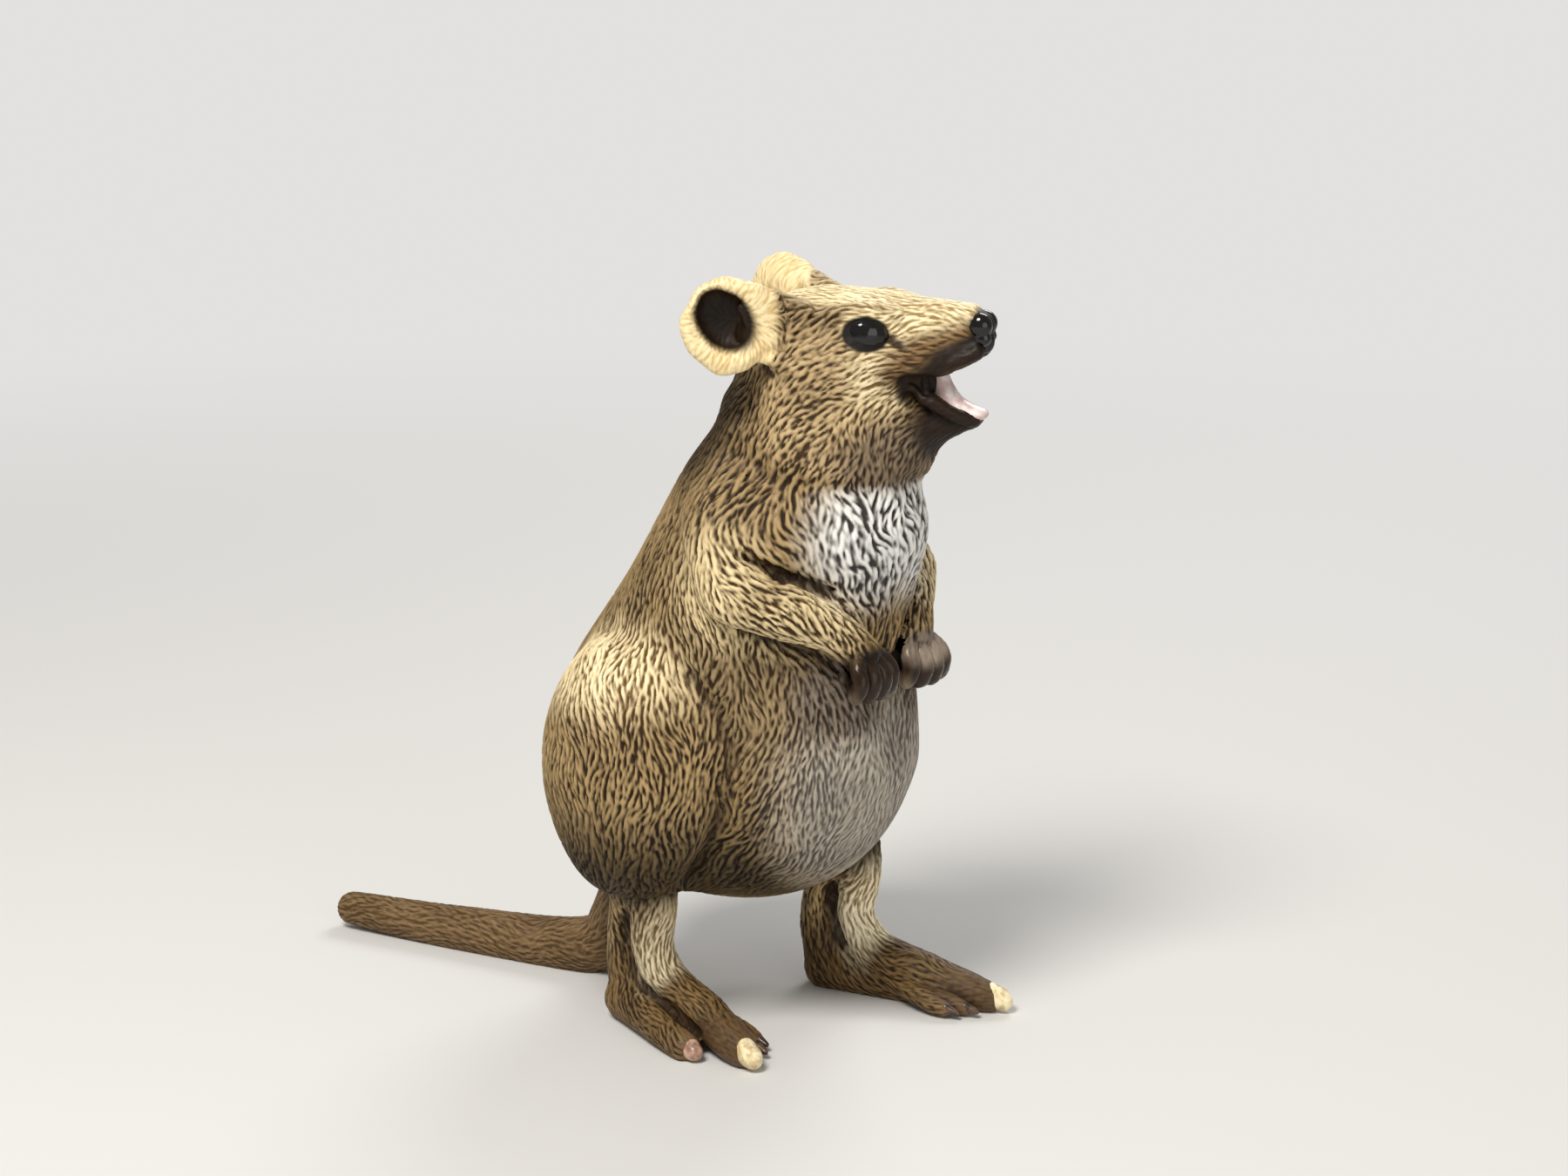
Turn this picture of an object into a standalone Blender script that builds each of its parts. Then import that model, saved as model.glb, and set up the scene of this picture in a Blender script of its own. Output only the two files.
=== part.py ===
# Standing quokka figurine, about 43 mm tall, moulded in PVC as nine pieces that are glued together.
# It faces -Y, its left side is +X, and it stands on the floor at z = 0 on two soles and its tail.
# The origin is the middle of its bounding box at the floor.
# Each piece is rounded lumps fused by a voxel remesh. A piece is cut to the surface of the piece
# that carries it, and a round peg on it enters a socket there.

import math

import bmesh
import bpy
from mathutils import Euler, Matrix, Vector

MM = 0.001

# Fits
GLUE_GAP = 0.3 * MM  # between the faces of two pieces, and round a peg
GROUND_CUT = 0.35 * MM  # what the flat face at the floor takes off a rounded sole or tail

# Stance, seen from above
HEELS_Y = -4.5 * MM  # the middle of the two heels, which puts the bounding box over the origin
HEEL_SPACING = 10.4 * MM
STRIDE = 5.9 * MM  # how far the right heel stands behind the left one
RIGHT_TOE_OUT = math.radians(16)
LEFT_TOE_OUT = math.radians(10)

# Feet and shins
FOOT_LENGTH = 12.6 * MM
HEEL_RADIUS = 1.5 * MM
TOE_RADIUS = 1.15 * MM
OUTER_TOE_LENGTH = 9.6 * MM
OUTER_TOE_RADIUS = 1.0 * MM
INNER_TOE_LENGTH = 10.2 * MM
INNER_TOE_RADIUS = 0.6 * MM
INSTEP_HEIGHT = 3.0 * MM
SHIN_HEIGHT = 7.4 * MM  # from the floor to the bottom of the haunch
SHIN_RADIUS = 1.55 * MM
TENDON_RADIUS = 1.15 * MM
LEG_PEG_RADIUS = 0.9 * MM
LEG_PEG_LENGTH = 3.0 * MM

# Trunk
BELLY_WIDTH = 17.2 * MM
BELLY_DEPTH = 22.4 * MM
BELLY_HEIGHT = 18.8 * MM
HAUNCH_WIDTH = 8.4 * MM
HAUNCH_DEPTH = 11.8 * MM
HAUNCH_HEIGHT = 16.0 * MM
HAUNCH_SPACING = 13.6 * MM
WAIST_WIDTH = 16.4 * MM
WAIST_DEPTH = 17.0 * MM
WAIST_BACK = 0.3 * MM  # behind the line from the belly to the chest
CHEST_WIDTH = 13.4 * MM
CHEST_DEPTH = 15.0 * MM
CHEST_HEIGHT = 14.0 * MM
CHEST_RISE = 12.6 * MM  # from the middle of the belly up to the middle of the chest
CHEST_LEAN = 4.3 * MM  # how far the chest lies ahead of the belly
NECK_WIDTH = 11.0 * MM
NECK_DEPTH = 11.8 * MM
NECK_RISE = 3.6 * MM  # from the middle of the chest up
NECK_LEAN = 1.0 * MM
NECK_SEAM_RISE = 0.4 * MM  # where the head is joined, above the middle of the neck
NECK_SEAM_TILT = math.radians(21)  # down towards the throat

# Folds in the trunk's skin
HAUNCH_FOLD_RADIUS = 0.7 * MM
ARM_FOLD_RADIUS = 0.6 * MM

# Arms
SHOULDER_RADIUS = 2.9 * MM
ELBOW_RADIUS = 2.25 * MM
ELBOW_SPACING = 14.8 * MM
ELBOW_AHEAD = 1.2 * MM  # of the middle of the chest
ELBOW_DROP = 2.2 * MM  # below the middle of the chest
FOREARM_RADIUS = 1.7 * MM
WRIST_RADIUS = 1.1 * MM
HANDS_SPACING = 5.2 * MM
HANDS_AHEAD = 0.5 * MM  # of the belly, where the fingertips lie
HANDS_DROP = 5.6 * MM  # below the middle of the chest
HAND_WIDTH = 2.5 * MM
FINGER_LENGTH = 1.5 * MM
FINGER_RADIUS = 0.42 * MM
ARM_PEG_RADIUS = 0.7 * MM
ARM_PEG_LENGTH = 3.0 * MM  # from inside the hand into the belly

# Head, measured from the point between the eyes
EYES_RISE = 8.4 * MM  # above the middle of the neck
EYES_AHEAD = 4.0 * MM  # ahead of the middle of the neck
HEAD_TURN = math.radians(18)  # towards the animal's left
EYES_SPACING = 4.5 * MM
EYE_DIAMETER = 2.3 * MM
CROWN_RISE = 2.0 * MM
SKULL_LENGTH = 10.6 * MM
SKULL_WIDTH = 9.2 * MM
SKULL_HEIGHT = 7.8 * MM
CHEEKS_DROP = 5.5 * MM
CHEEKS_LENGTH = 9.4 * MM
CHEEKS_WIDTH = 9.8 * MM
CHEEKS_HEIGHT = 7.6 * MM
MUZZLE_LENGTH = 6.5 * MM
MUZZLE_RADIUS = 2.3 * MM
SNOUT_RADIUS = 1.35 * MM
NOSE_WIDTH = 2.3 * MM
MOUTH_OPENING = 2.6 * MM  # between the lips at their tips
JAW_LENGTH = 5.8 * MM
JAW_RADIUS = 2.1 * MM
CHIN_RADIUS = 0.75 * MM
BROW_RADIUS = 0.7 * MM
CHEEKBONE_RADIUS = 0.95 * MM
HEAD_PEG_RADIUS = 2.0 * MM
HEAD_PEG_LENGTH = 3.4 * MM

# Ears
EAR_DIAMETER = 5.5 * MM
EAR_DEPTH = 2.6 * MM
EAR_WALL = 0.8 * MM
EARS_SPACING = 9.0 * MM
EARS_BEHIND = 6.9 * MM  # behind the eyes
EARS_FORWARDS = math.radians(20)  # how far their openings turn towards the nose
EAR_PEG_RADIUS = 0.55 * MM
EAR_PEG_LENGTH = 1.4 * MM

# Tail
TAIL_LENGTH = 17.6 * MM  # along the floor
TAIL_ROOT_RADIUS = 1.75 * MM
TAIL_TIP_RADIUS = 1.0 * MM
TAIL_SWING = math.radians(10)  # towards the animal's right
TAIL_ROOT_BACK = 4.9 * MM  # behind the middle of the heels
TAIL_BEND_BACK = 1.4 * MM  # behind the root
TAIL_LOW_BACK = 3.8 * MM  # behind the root, where it reaches the floor
TAIL_PEG_RADIUS = 0.9 * MM
TAIL_PEG_LENGTH = 2.6 * MM

# Fineness of the voxel remesh
BODY_GRAIN = 0.9 * MM
HEAD_GRAIN = 0.5 * MM
LIMB_GRAIN = 0.42 * MM
HAND_GRAIN = 0.26 * MM
KEPT_FACES = 0.34  # the share of the remeshed faces that a piece keeps

# Places that several pieces share
belly = Vector((0, HEELS_Y - 1.6 * MM, SHIN_HEIGHT - 0.8 * MM + BELLY_HEIGHT / 2))
chest = belly + Vector((0, -CHEST_LEAN, CHEST_RISE))
neck = chest + Vector((0, -NECK_LEAN, NECK_RISE))
head_turn = Matrix.Rotation(HEAD_TURN, 4, "Z")
eyes = neck + head_turn @ Vector((0, -EYES_AHEAD, EYES_RISE))


def clear_scene():
    for thing in list(bpy.data.objects):
        bpy.data.objects.remove(thing, do_unlink=True)


def new_collection(name):
    made = bpy.data.collections.new(name)
    bpy.context.scene.collection.children.link(made)
    return made


def paint(name, colour, roughness):
    made = bpy.data.materials.new(name)
    made.use_nodes = True
    shader = made.node_tree.nodes["Principled BSDF"]
    shader.inputs["Base Color"].default_value = (*colour, 1)
    shader.inputs["Roughness"].default_value = roughness
    shader.inputs["Metallic"].default_value = 0
    return made


def add_lump(bm, centre, size, turn=None):
    """An ellipsoid of the given full size."""
    scale = Matrix.Diagonal((*(Vector(size) / 2), 1))
    place = Matrix.Translation(centre) @ (turn or Matrix()) @ scale
    bmesh.ops.create_uvsphere(bm, u_segments=24, v_segments=16, radius=1, matrix=place)


def add_cone(bm, start, end, start_radius, end_radius):
    run = end - start
    place = Matrix.Translation((start + end) / 2) @ run.to_track_quat("Z", "Y").to_matrix().to_4x4()
    bmesh.ops.create_cone(
        bm, cap_ends=True, segments=20, radius1=start_radius, radius2=end_radius, depth=run.length, matrix=place
    )


def add_limb(bm, *stations):
    """A round limb through (point, radius) stations: a ball at each and a cone between."""
    for point, radius in stations:
        add_lump(bm, point, [2 * radius] * 3)
    for (start, start_radius), (end, end_radius) in zip(stations, stations[1:]):
        add_cone(bm, start, end, start_radius, end_radius)


def with_between(stations):
    """The (centre, size) stations of a row with more between them, so that the row has no waists."""
    between = 4
    made = []
    for (start, start_size), (end, end_size) in zip(stations, stations[1:]):
        for step in range(between + 1):
            share = step / between
            made.append((start.lerp(end, share), Vector(start_size).lerp(Vector(end_size), share)))
    return made


def new_object(name, bm, collection):
    mesh = bpy.data.meshes.new(name)
    bm.to_mesh(mesh)
    bm.free()
    made = bpy.data.objects.new(name, mesh)
    collection.objects.link(made)
    return made


def helper(thing):
    thing.hide_render = True
    thing.display_type = "WIRE"
    return thing


def clay(name, fill, grain, rounds, collection):
    """An object of lumps fused by a voxel remesh, with its creases smoothed."""
    bm = bmesh.new()
    fill(bm)
    made = new_object(name, bm, collection)
    fuse = made.modifiers.new("fuse", "REMESH")
    fuse.mode = "VOXEL"
    fuse.voxel_size = grain
    fuse.use_smooth_shade = True
    soften = made.modifiers.new("soften", "SMOOTH")
    soften.factor = 0.5
    soften.iterations = rounds
    thin = made.modifiers.new("thin", "DECIMATE")
    thin.ratio = KEPT_FACES
    return made


def grown(thing, cutters):
    """A cutter of the same shape, larger all over by the glue gap."""
    made = thing.copy()
    made.name = thing.name + "_grown"
    cutters.objects.link(made)
    grow = made.modifiers.new("grow", "DISPLACE")
    grow.mid_level = 0
    grow.strength = GLUE_GAP
    return helper(made)


def boolean(thing, other, operation):
    change = thing.modifiers.new(operation.lower() + "_" + other.name, "BOOLEAN")
    change.operation = operation
    change.object = other
    change.solver = "EXACT"


def rod(name, start, end, radius, cutters):
    bm = bmesh.new()
    add_cone(bm, start, end, radius, radius)
    return helper(new_object(name, bm, cutters))


def peg_joint(piece, carrier, root, tip, radius, cutters):
    """Gives a piece a peg from its root, inside it, to a tip in its carrier, and the carrier the socket."""
    inwards = (tip - root).normalized()
    boolean(piece, rod(piece.name + "_peg", root, tip, radius, cutters), "UNION")
    bottom = tip + inwards * GLUE_GAP
    boolean(carrier, rod(piece.name + "_socket", root, bottom, radius + GLUE_GAP, cutters), "DIFFERENCE")


def half_space(name, point, normal, cutters):
    """A large block whose one face passes through the point, on the side that the normal points to."""
    side = 120 * MM
    turn = normal.to_track_quat("Z", "Y").to_matrix().to_4x4()
    bm = bmesh.new()
    bmesh.ops.create_cube(bm, size=side, matrix=Matrix.Translation(point + normal * side / 2) @ turn)
    return helper(new_object(name, bm, cutters))


def heel(side):
    return Vector((side * HEEL_SPACING / 2, HEELS_Y - side * STRIDE / 2, 0))


def on_foot(side, ahead, out, up):
    """A point given from the back of the heel: ahead along the foot, outwards, and up from the floor."""
    angle = LEFT_TOE_OUT if side > 0 else -RIGHT_TOE_OUT
    forwards = Vector((math.sin(angle), -math.cos(angle), 0))
    outwards = Vector((math.cos(angle), math.sin(angle), 0)) * side
    return heel(side) + forwards * ahead + outwards * out + Vector((0, 0, up))


def shin_top(side):
    return on_foot(side, 2.6 * MM, 0, SHIN_HEIGHT)


def haunch(side):
    stagger = -side * STRIDE * 0.12
    return Vector((side * HAUNCH_SPACING / 2, HEELS_Y - 0.3 * MM + stagger, SHIN_HEIGHT + HAUNCH_HEIGHT / 2))


def elbow(side):
    return Vector((side * ELBOW_SPACING / 2, chest.y - ELBOW_AHEAD, chest.z - ELBOW_DROP))


def arm_peg_run(side):
    """From the middle of the hand to the end of its peg, inside the belly."""
    return (belly.lerp(chest, 0.6) - palm(side)).normalized() * ARM_PEG_LENGTH


def trunk():
    """The trunk's main ellipsoids as (centre, size), from the belly up to the neck."""
    waist = belly.lerp(chest, 0.5) + Vector((0, WAIST_BACK, 0))
    return [
        (belly, (BELLY_WIDTH, BELLY_DEPTH, BELLY_HEIGHT)),
        (waist, (WAIST_WIDTH, WAIST_DEPTH, CHEST_RISE * 1.2)),
        (chest, (CHEST_WIDTH, CHEST_DEPTH, CHEST_HEIGHT)),
        (neck, (NECK_WIDTH, NECK_DEPTH, NECK_WIDTH)),
    ]


def trunk_front(height):
    """The foremost y of the trunk at a height."""
    reached = []
    for centre, size in with_between(trunk()):
        rise = (height - centre.z) / (size[2] / 2)
        if abs(rise) < 1:
            reached.append(centre.y - size[1] / 2 * math.sqrt(1 - rise**2))
    return min(reached)


def palm(side):
    height = chest.z - HANDS_DROP
    ahead = trunk_front(height - FINGER_LENGTH - HAND_WIDTH * 0.2) - HANDS_AHEAD
    return Vector((side * HANDS_SPACING / 2, ahead, height))


def fill_body(bm):
    """Belly, waist, chest, neck, haunches, shoulders, upper arms and the tops of the shins."""
    for centre, size in with_between(trunk()):
        add_lump(bm, centre, size)
    add_limb(bm, (belly.lerp(tail_root(), 0.5), BELLY_WIDTH * 0.3), (tail_root(), TAIL_ROOT_RADIUS * 1.5))
    for side in (-1, 1):
        add_lump(bm, haunch(side), (HAUNCH_WIDTH, HAUNCH_DEPTH, HAUNCH_HEIGHT))
        shoulder = chest + Vector((side * (CHEST_WIDTH / 2 - 1.2 * MM), 0.6 * MM, 0.8 * MM))
        add_limb(bm, (shoulder, SHOULDER_RADIUS), (elbow(side), ELBOW_RADIUS))
        knee = haunch(side) + Vector((0, 0, -HAUNCH_HEIGHT * 0.24))
        ankle = shin_top(side) + Vector((0, 0, SHIN_RADIUS * 1.5))
        add_limb(bm, (knee, HAUNCH_WIDTH * 0.48), (ankle, SHIN_RADIUS * 1.5))


def haunch_fold(side):
    """The line in front of the haunch and over it, in halves of the haunch's own size from its middle."""
    half = Vector((side * HAUNCH_WIDTH, HAUNCH_DEPTH, HAUNCH_HEIGHT)) / 2
    shares = (
        (-0.21, 0.49, 0.94),
        (0.19, -0.05, 0.99),
        (0.31, -0.56, 0.9),
        (0.29, -0.9, 0.72),
        (0.21, -1.1, 0.52),
        (0.17, -1.22, 0.28),
        (0.17, -1.17, -0.1),
        (0.07, -0.93, -0.48),
        (-0.07, -0.63, -0.76),
    )
    return [haunch(side) + Vector([share * size for share, size in zip(point, half)]) for point in shares]


def arm_folds(side):
    """The lines over and under the forearm, from the elbow to the hand."""
    run = palm(side) - elbow(side)
    over = Vector((0, -0.2 * FOREARM_RADIUS, 1.15 * FOREARM_RADIUS))
    under = Vector((0, 0.2 * FOREARM_RADIUS, -1.15 * FOREARM_RADIUS))
    shares = (0.1, 0.35, 0.6, 0.8)
    return [[elbow(side) + run * share + rise for share in shares] for rise in (over, under)]


def fill_folds(bm):
    """Rods along the folds, which are cut out of the trunk."""
    for side in (-1, 1):
        add_limb(bm, *[(point, HAUNCH_FOLD_RADIUS) for point in haunch_fold(side)])
        for fold in arm_folds(side):
            add_limb(bm, *[(point, ARM_FOLD_RADIUS) for point in fold])


def fill_leg(side):
    def fill(bm):
        def at(ahead, out, up):
            return on_foot(side, ahead, out, up)

        toe = FOOT_LENGTH - TOE_RADIUS
        outer_toe = OUTER_TOE_LENGTH - OUTER_TOE_RADIUS
        sole = HEEL_RADIUS - GROUND_CUT
        ankle_back = at(HEEL_RADIUS - 0.9 * MM, 0, SHIN_HEIGHT * 0.5)
        ankle_front = at(2.9 * MM, -0.2 * MM, INSTEP_HEIGHT + 1.2 * MM)
        top = shin_top(side) + Vector((0, 0, 2 * SHIN_RADIUS))
        add_limb(bm, (at(HEEL_RADIUS, 0, sole), HEEL_RADIUS), (ankle_back, TENDON_RADIUS), (top, SHIN_RADIUS))
        add_limb(
            bm,
            (top, SHIN_RADIUS),
            (ankle_front, TENDON_RADIUS * 1.15),
            (at(toe * 0.4, -0.4 * MM, INSTEP_HEIGHT - TOE_RADIUS), TOE_RADIUS * 1.1),
            (at(toe * 0.7, -0.5 * MM, TOE_RADIUS * 1.3 - GROUND_CUT), TOE_RADIUS * 1.15),
            (at(toe, -0.2 * MM, TOE_RADIUS - GROUND_CUT), TOE_RADIUS),
        )
        add_limb(
            bm,
            (at(HEEL_RADIUS, 0.3 * MM, sole), HEEL_RADIUS * 0.95),
            (at(outer_toe, 1.6 * MM, OUTER_TOE_RADIUS - GROUND_CUT), OUTER_TOE_RADIUS),
        )
        add_limb(
            bm,
            (at(HEEL_RADIUS, -0.1 * MM, sole), HEEL_RADIUS),
            (at(toe * 0.6, -0.2 * MM, TOE_RADIUS - GROUND_CUT), TOE_RADIUS),
        )
        for step in range(2):
            tip = INNER_TOE_LENGTH - INNER_TOE_RADIUS - step * 1.1 * MM
            add_limb(
                bm,
                (at(tip - 2.6 * MM, -0.8 * MM, TOE_RADIUS), INNER_TOE_RADIUS * 1.4),
                (at(tip, -1.6 * MM, INNER_TOE_RADIUS * (1 + step) - GROUND_CUT / 2), INNER_TOE_RADIUS),
            )

    return fill


def fill_arm(side):
    """Forearm, hand and four fingers, from inside the elbow to the claws, and the stuff of the peg."""

    def fill(bm):
        hand = palm(side)
        wrist = elbow(side).lerp(hand, 0.7) + Vector((0, -0.36 * WRIST_RADIUS, 0.64 * WRIST_RADIUS))
        add_limb(bm, (elbow(side), FOREARM_RADIUS), (wrist, WRIST_RADIUS), (hand, HAND_WIDTH * 0.46))
        add_limb(bm, (hand, HAND_WIDTH * 0.46), (hand + arm_peg_run(side) * 1.2, ARM_PEG_RADIUS * 1.5))
        for finger in range(4):
            spread = Vector((1, 0.1 * side, 0)) * (finger - 1.5) * HAND_WIDTH / 3.2
            knuckle = hand + spread + Vector((0, -0.2 * HAND_WIDTH, -0.2 * HAND_WIDTH))
            claw = knuckle + Vector((0, -0.1, -1)).normalized() * FINGER_LENGTH
            add_limb(bm, (hand, FINGER_RADIUS), (knuckle, FINGER_RADIUS), (claw, FINGER_RADIUS * 0.85))

    return fill


def on_head(ahead, out, up):
    """A point given from between the eyes: ahead to the nose, out to the animal's left, and up."""
    return eyes + head_turn @ Vector((out, -ahead, up))


def fill_head(bm):
    """Skull, cheeks, throat, muzzle, nose, lips, lower jaw and the bulge of each eye."""
    skull = on_head(2.5 * MM - SKULL_LENGTH / 2, 0, CROWN_RISE - SKULL_HEIGHT / 2)
    cheeks = on_head(2.5 * MM - CHEEKS_LENGTH / 2, 0, -CHEEKS_DROP)
    add_lump(bm, skull, (SKULL_WIDTH, SKULL_LENGTH, SKULL_HEIGHT), head_turn)
    add_lump(bm, cheeks, (CHEEKS_WIDTH, CHEEKS_LENGTH, CHEEKS_HEIGHT), head_turn)
    snout = MUZZLE_LENGTH - SNOUT_RADIUS
    lip_up = -0.4 * MM
    add_limb(
        bm,
        (on_head(-0.6 * MM, 0, CROWN_RISE - 0.1 * MM - MUZZLE_RADIUS * 1.15), MUZZLE_RADIUS * 1.15),
        (on_head(1.6 * MM, 0, CROWN_RISE - 0.3 * MM - MUZZLE_RADIUS), MUZZLE_RADIUS),
        (on_head(snout - 0.8 * MM, 0, lip_up), SNOUT_RADIUS),
    )
    add_lump(bm, on_head(snout + 0.2 * MM, 0, 0.1 * MM), (NOSE_WIDTH, 2 * SNOUT_RADIUS, 2.2 * MM), head_turn)
    chin_up = lip_up - SNOUT_RADIUS - MOUTH_OPENING - CHIN_RADIUS
    for side in (-1, 1):
        corner = on_head(2.5 * MM, side * 1.9 * MM, -2.1 * MM)
        add_limb(bm, (corner, 0.9 * MM), (on_head(snout, side * 0.8 * MM, lip_up - 0.6 * MM), 0.65 * MM))
        add_lump(bm, on_head(0, side * EYES_SPACING / 2, 0), [EYE_DIAMETER] * 3)
        add_limb(
            bm,
            (on_head(-1.6 * MM, side * EYES_SPACING * 0.61, 0.75 * MM), BROW_RADIUS),
            (on_head(-0.2 * MM, side * EYES_SPACING * 0.57, 0.95 * MM), BROW_RADIUS),
            (on_head(1.3 * MM, side * EYES_SPACING * 0.42, 0.8 * MM), BROW_RADIUS * 0.86),
        )
        add_limb(
            bm,
            (on_head(-0.8 * MM, side * EYES_SPACING * 0.71, -1.6 * MM), CHEEKBONE_RADIUS),
            (on_head(1.2 * MM, side * EYES_SPACING * 0.52, -1.65 * MM), CHEEKBONE_RADIUS),
            (on_head(3.0 * MM, side * EYES_SPACING * 0.34, -1.2 * MM), CHEEKBONE_RADIUS * 0.84),
        )
    add_limb(
        bm,
        (on_head(0, 0, -CHEEKS_DROP), JAW_RADIUS * 1.25),
        (on_head(JAW_LENGTH * 0.42, 0, chin_up - 0.7 * MM), JAW_RADIUS * 0.9),
        (on_head(JAW_LENGTH - CHIN_RADIUS, 0, chin_up), CHIN_RADIUS),
    )
    throat = on_head(0.2 * MM, 0, -CHEEKS_DROP - 1.2 * MM)
    nape = on_head(-3.2 * MM, 0, -CHEEKS_DROP + 2.6 * MM)
    add_limb(bm, (throat, 3.4 * MM), (neck + Vector((0, -0.9 * MM, 0.6 * MM)), NECK_WIDTH * 0.47))
    add_limb(bm, (nape, SKULL_WIDTH * 0.45), (neck + Vector((0, 0.3 * MM, 0.6 * MM)), NECK_WIDTH * 0.49))


def ear_place(side):
    """Where an ear sits, how it is turned, and which way its hollow opens."""
    turn = head_turn @ Euler((math.radians(6), 0, -side * EARS_FORWARDS)).to_matrix().to_4x4()
    middle = on_head(-EARS_BEHIND, side * EARS_SPACING / 2, 0.2 * MM)
    return middle, turn, turn.to_3x3() @ Vector((side, 0, 0))


def fill_ear(side):
    """A thick disc with a stalk that runs forwards into the skull."""

    def fill(bm):
        middle, turn, opening = ear_place(side)
        add_lump(bm, middle, (EAR_DEPTH, EAR_DIAMETER, EAR_DIAMETER), turn)
        root = on_head(-EARS_BEHIND * 0.55, side * SKULL_WIDTH * 0.32, -0.4 * MM)
        add_limb(bm, (middle - opening * EAR_DEPTH * 0.2, EAR_DIAMETER * 0.3), (root, EAR_DIAMETER * 0.3))

    return fill


def fill_ear_hollow(side):
    def fill(bm):
        middle, turn, opening = ear_place(side)
        across = EAR_DIAMETER - 2 * EAR_WALL
        add_lump(bm, middle + opening * EAR_DEPTH * 0.6, (EAR_DEPTH * 1.3, across, across), turn)

    return fill


def tail_root():
    return Vector((0, HEELS_Y + TAIL_ROOT_BACK, SHIN_HEIGHT - 0.2 * MM))


def fill_tail(bm):
    """From inside the rump down to the floor in a bend, and back along it."""
    back = Vector((-math.sin(TAIL_SWING), math.cos(TAIL_SWING), 0))
    low = tail_root() + back * TAIL_LOW_BACK
    low.z = TAIL_ROOT_RADIUS - GROUND_CUT
    bend = tail_root() + back * TAIL_BEND_BACK
    bend.z = low.z + (tail_root().z - low.z) * 0.42
    middle = low + back * TAIL_LENGTH * 0.5
    middle_radius = (TAIL_ROOT_RADIUS + TAIL_TIP_RADIUS) / 2
    middle.z = middle_radius - GROUND_CUT
    tip = low + back * (TAIL_LENGTH - TAIL_TIP_RADIUS)
    tip.z = TAIL_TIP_RADIUS * 1.2
    add_limb(
        bm,
        (tail_root(), TAIL_ROOT_RADIUS * 1.35),
        (bend, TAIL_ROOT_RADIUS * 1.15),
        (low, TAIL_ROOT_RADIUS),
        (middle, middle_radius),
        (tip, TAIL_TIP_RADIUS),
    )


def build_head(body, pieces, cutters):
    head = clay("head", fill_head, HEAD_GRAIN, 3, pieces)
    head_grown = grown(head, cutters)
    up = Vector((0, -math.sin(NECK_SEAM_TILT), math.cos(NECK_SEAM_TILT)))
    seam = neck + up * NECK_SEAM_RISE
    boolean(head, half_space("under_neck_seam", seam, -up, cutters), "DIFFERENCE")
    boolean(body, half_space("over_neck_seam", seam - up * GLUE_GAP, up, cutters), "DIFFERENCE")
    peg_joint(head, body, seam + up * 1.6 * MM, seam - up * HEAD_PEG_LENGTH, HEAD_PEG_RADIUS, cutters)
    for side, name in ((-1, "right_ear"), (1, "left_ear")):
        ear = clay(name, fill_ear(side), LIMB_GRAIN, 2, pieces)
        hollow = helper(clay(name + "_hollow", fill_ear_hollow(side), LIMB_GRAIN, 1, cutters))
        boolean(ear, hollow, "DIFFERENCE")
        boolean(ear, head_grown, "DIFFERENCE")
        middle, turn, opening = ear_place(side)
        root = middle - opening * EAR_DEPTH * 0.3 + head_turn @ Vector((0, -0.8 * MM, -0.4 * MM))
        inwards = (on_head(-EARS_BEHIND * 0.5, 0, -1.0 * MM) - root).normalized()
        peg_joint(ear, head, root, root + inwards * (EAR_PEG_LENGTH + 1.0 * MM), EAR_PEG_RADIUS, cutters)


def build_limbs(body, body_grown, floor, pieces, cutters):
    tail = clay("tail", fill_tail, LIMB_GRAIN, 2, pieces)
    boolean(tail, body_grown, "DIFFERENCE")
    boolean(tail, floor, "DIFFERENCE")
    outside = Vector((0, tail_root().y + TAIL_BEND_BACK, TAIL_ROOT_RADIUS * 1.6))
    inwards = (tail_root() - outside).normalized()
    peg_joint(tail, body, outside, tail_root() + inwards * TAIL_PEG_LENGTH, TAIL_PEG_RADIUS, cutters)
    for side, name in ((-1, "right"), (1, "left")):
        arm = clay(name + "_arm", fill_arm(side), HAND_GRAIN, 2, pieces)
        seat = helper(body_grown.copy())
        seat.name = arm.name + "_seat"
        cutters.objects.link(seat)
        hand = palm(side)
        peg_end = hand + arm_peg_run(side)
        bottom = peg_end + arm_peg_run(side).normalized() * GLUE_GAP
        boolean(seat, rod(arm.name + "_peg", hand, peg_end, ARM_PEG_RADIUS, cutters), "DIFFERENCE")
        boolean(arm, seat, "DIFFERENCE")
        socket = rod(arm.name + "_socket", hand, bottom, ARM_PEG_RADIUS + GLUE_GAP, cutters)
        boolean(body, socket, "DIFFERENCE")

        leg = clay(name + "_leg", fill_leg(side), LIMB_GRAIN, 2, pieces)
        boolean(leg, body_grown, "DIFFERENCE")
        boolean(leg, floor, "DIFFERENCE")
        top = shin_top(side)
        up = Vector((0, 0, 1))
        peg_joint(leg, body, top - up * 1.4 * MM, top + up * LEG_PEG_LENGTH, LEG_PEG_RADIUS, cutters)


def main():
    clear_scene()
    pieces = new_collection("quokka_figurine")
    cutters = new_collection("cutters")
    body = clay("body", fill_body, BODY_GRAIN, 4, pieces)
    body_grown = grown(body, cutters)
    boolean(body, helper(clay("folds", fill_folds, LIMB_GRAIN, 1, cutters)), "DIFFERENCE")
    build_head(body, pieces, cutters)
    floor = half_space("floor_block", Vector((0, 0, 0)), Vector((0, 0, -1)), cutters)
    build_limbs(body, body_grown, floor, pieces, cutters)
    vinyl = paint("painted_vinyl", (0.42, 0.30, 0.16), 0.6)
    for piece in pieces.objects:
        piece.data.materials.append(vinyl)


main()
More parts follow.
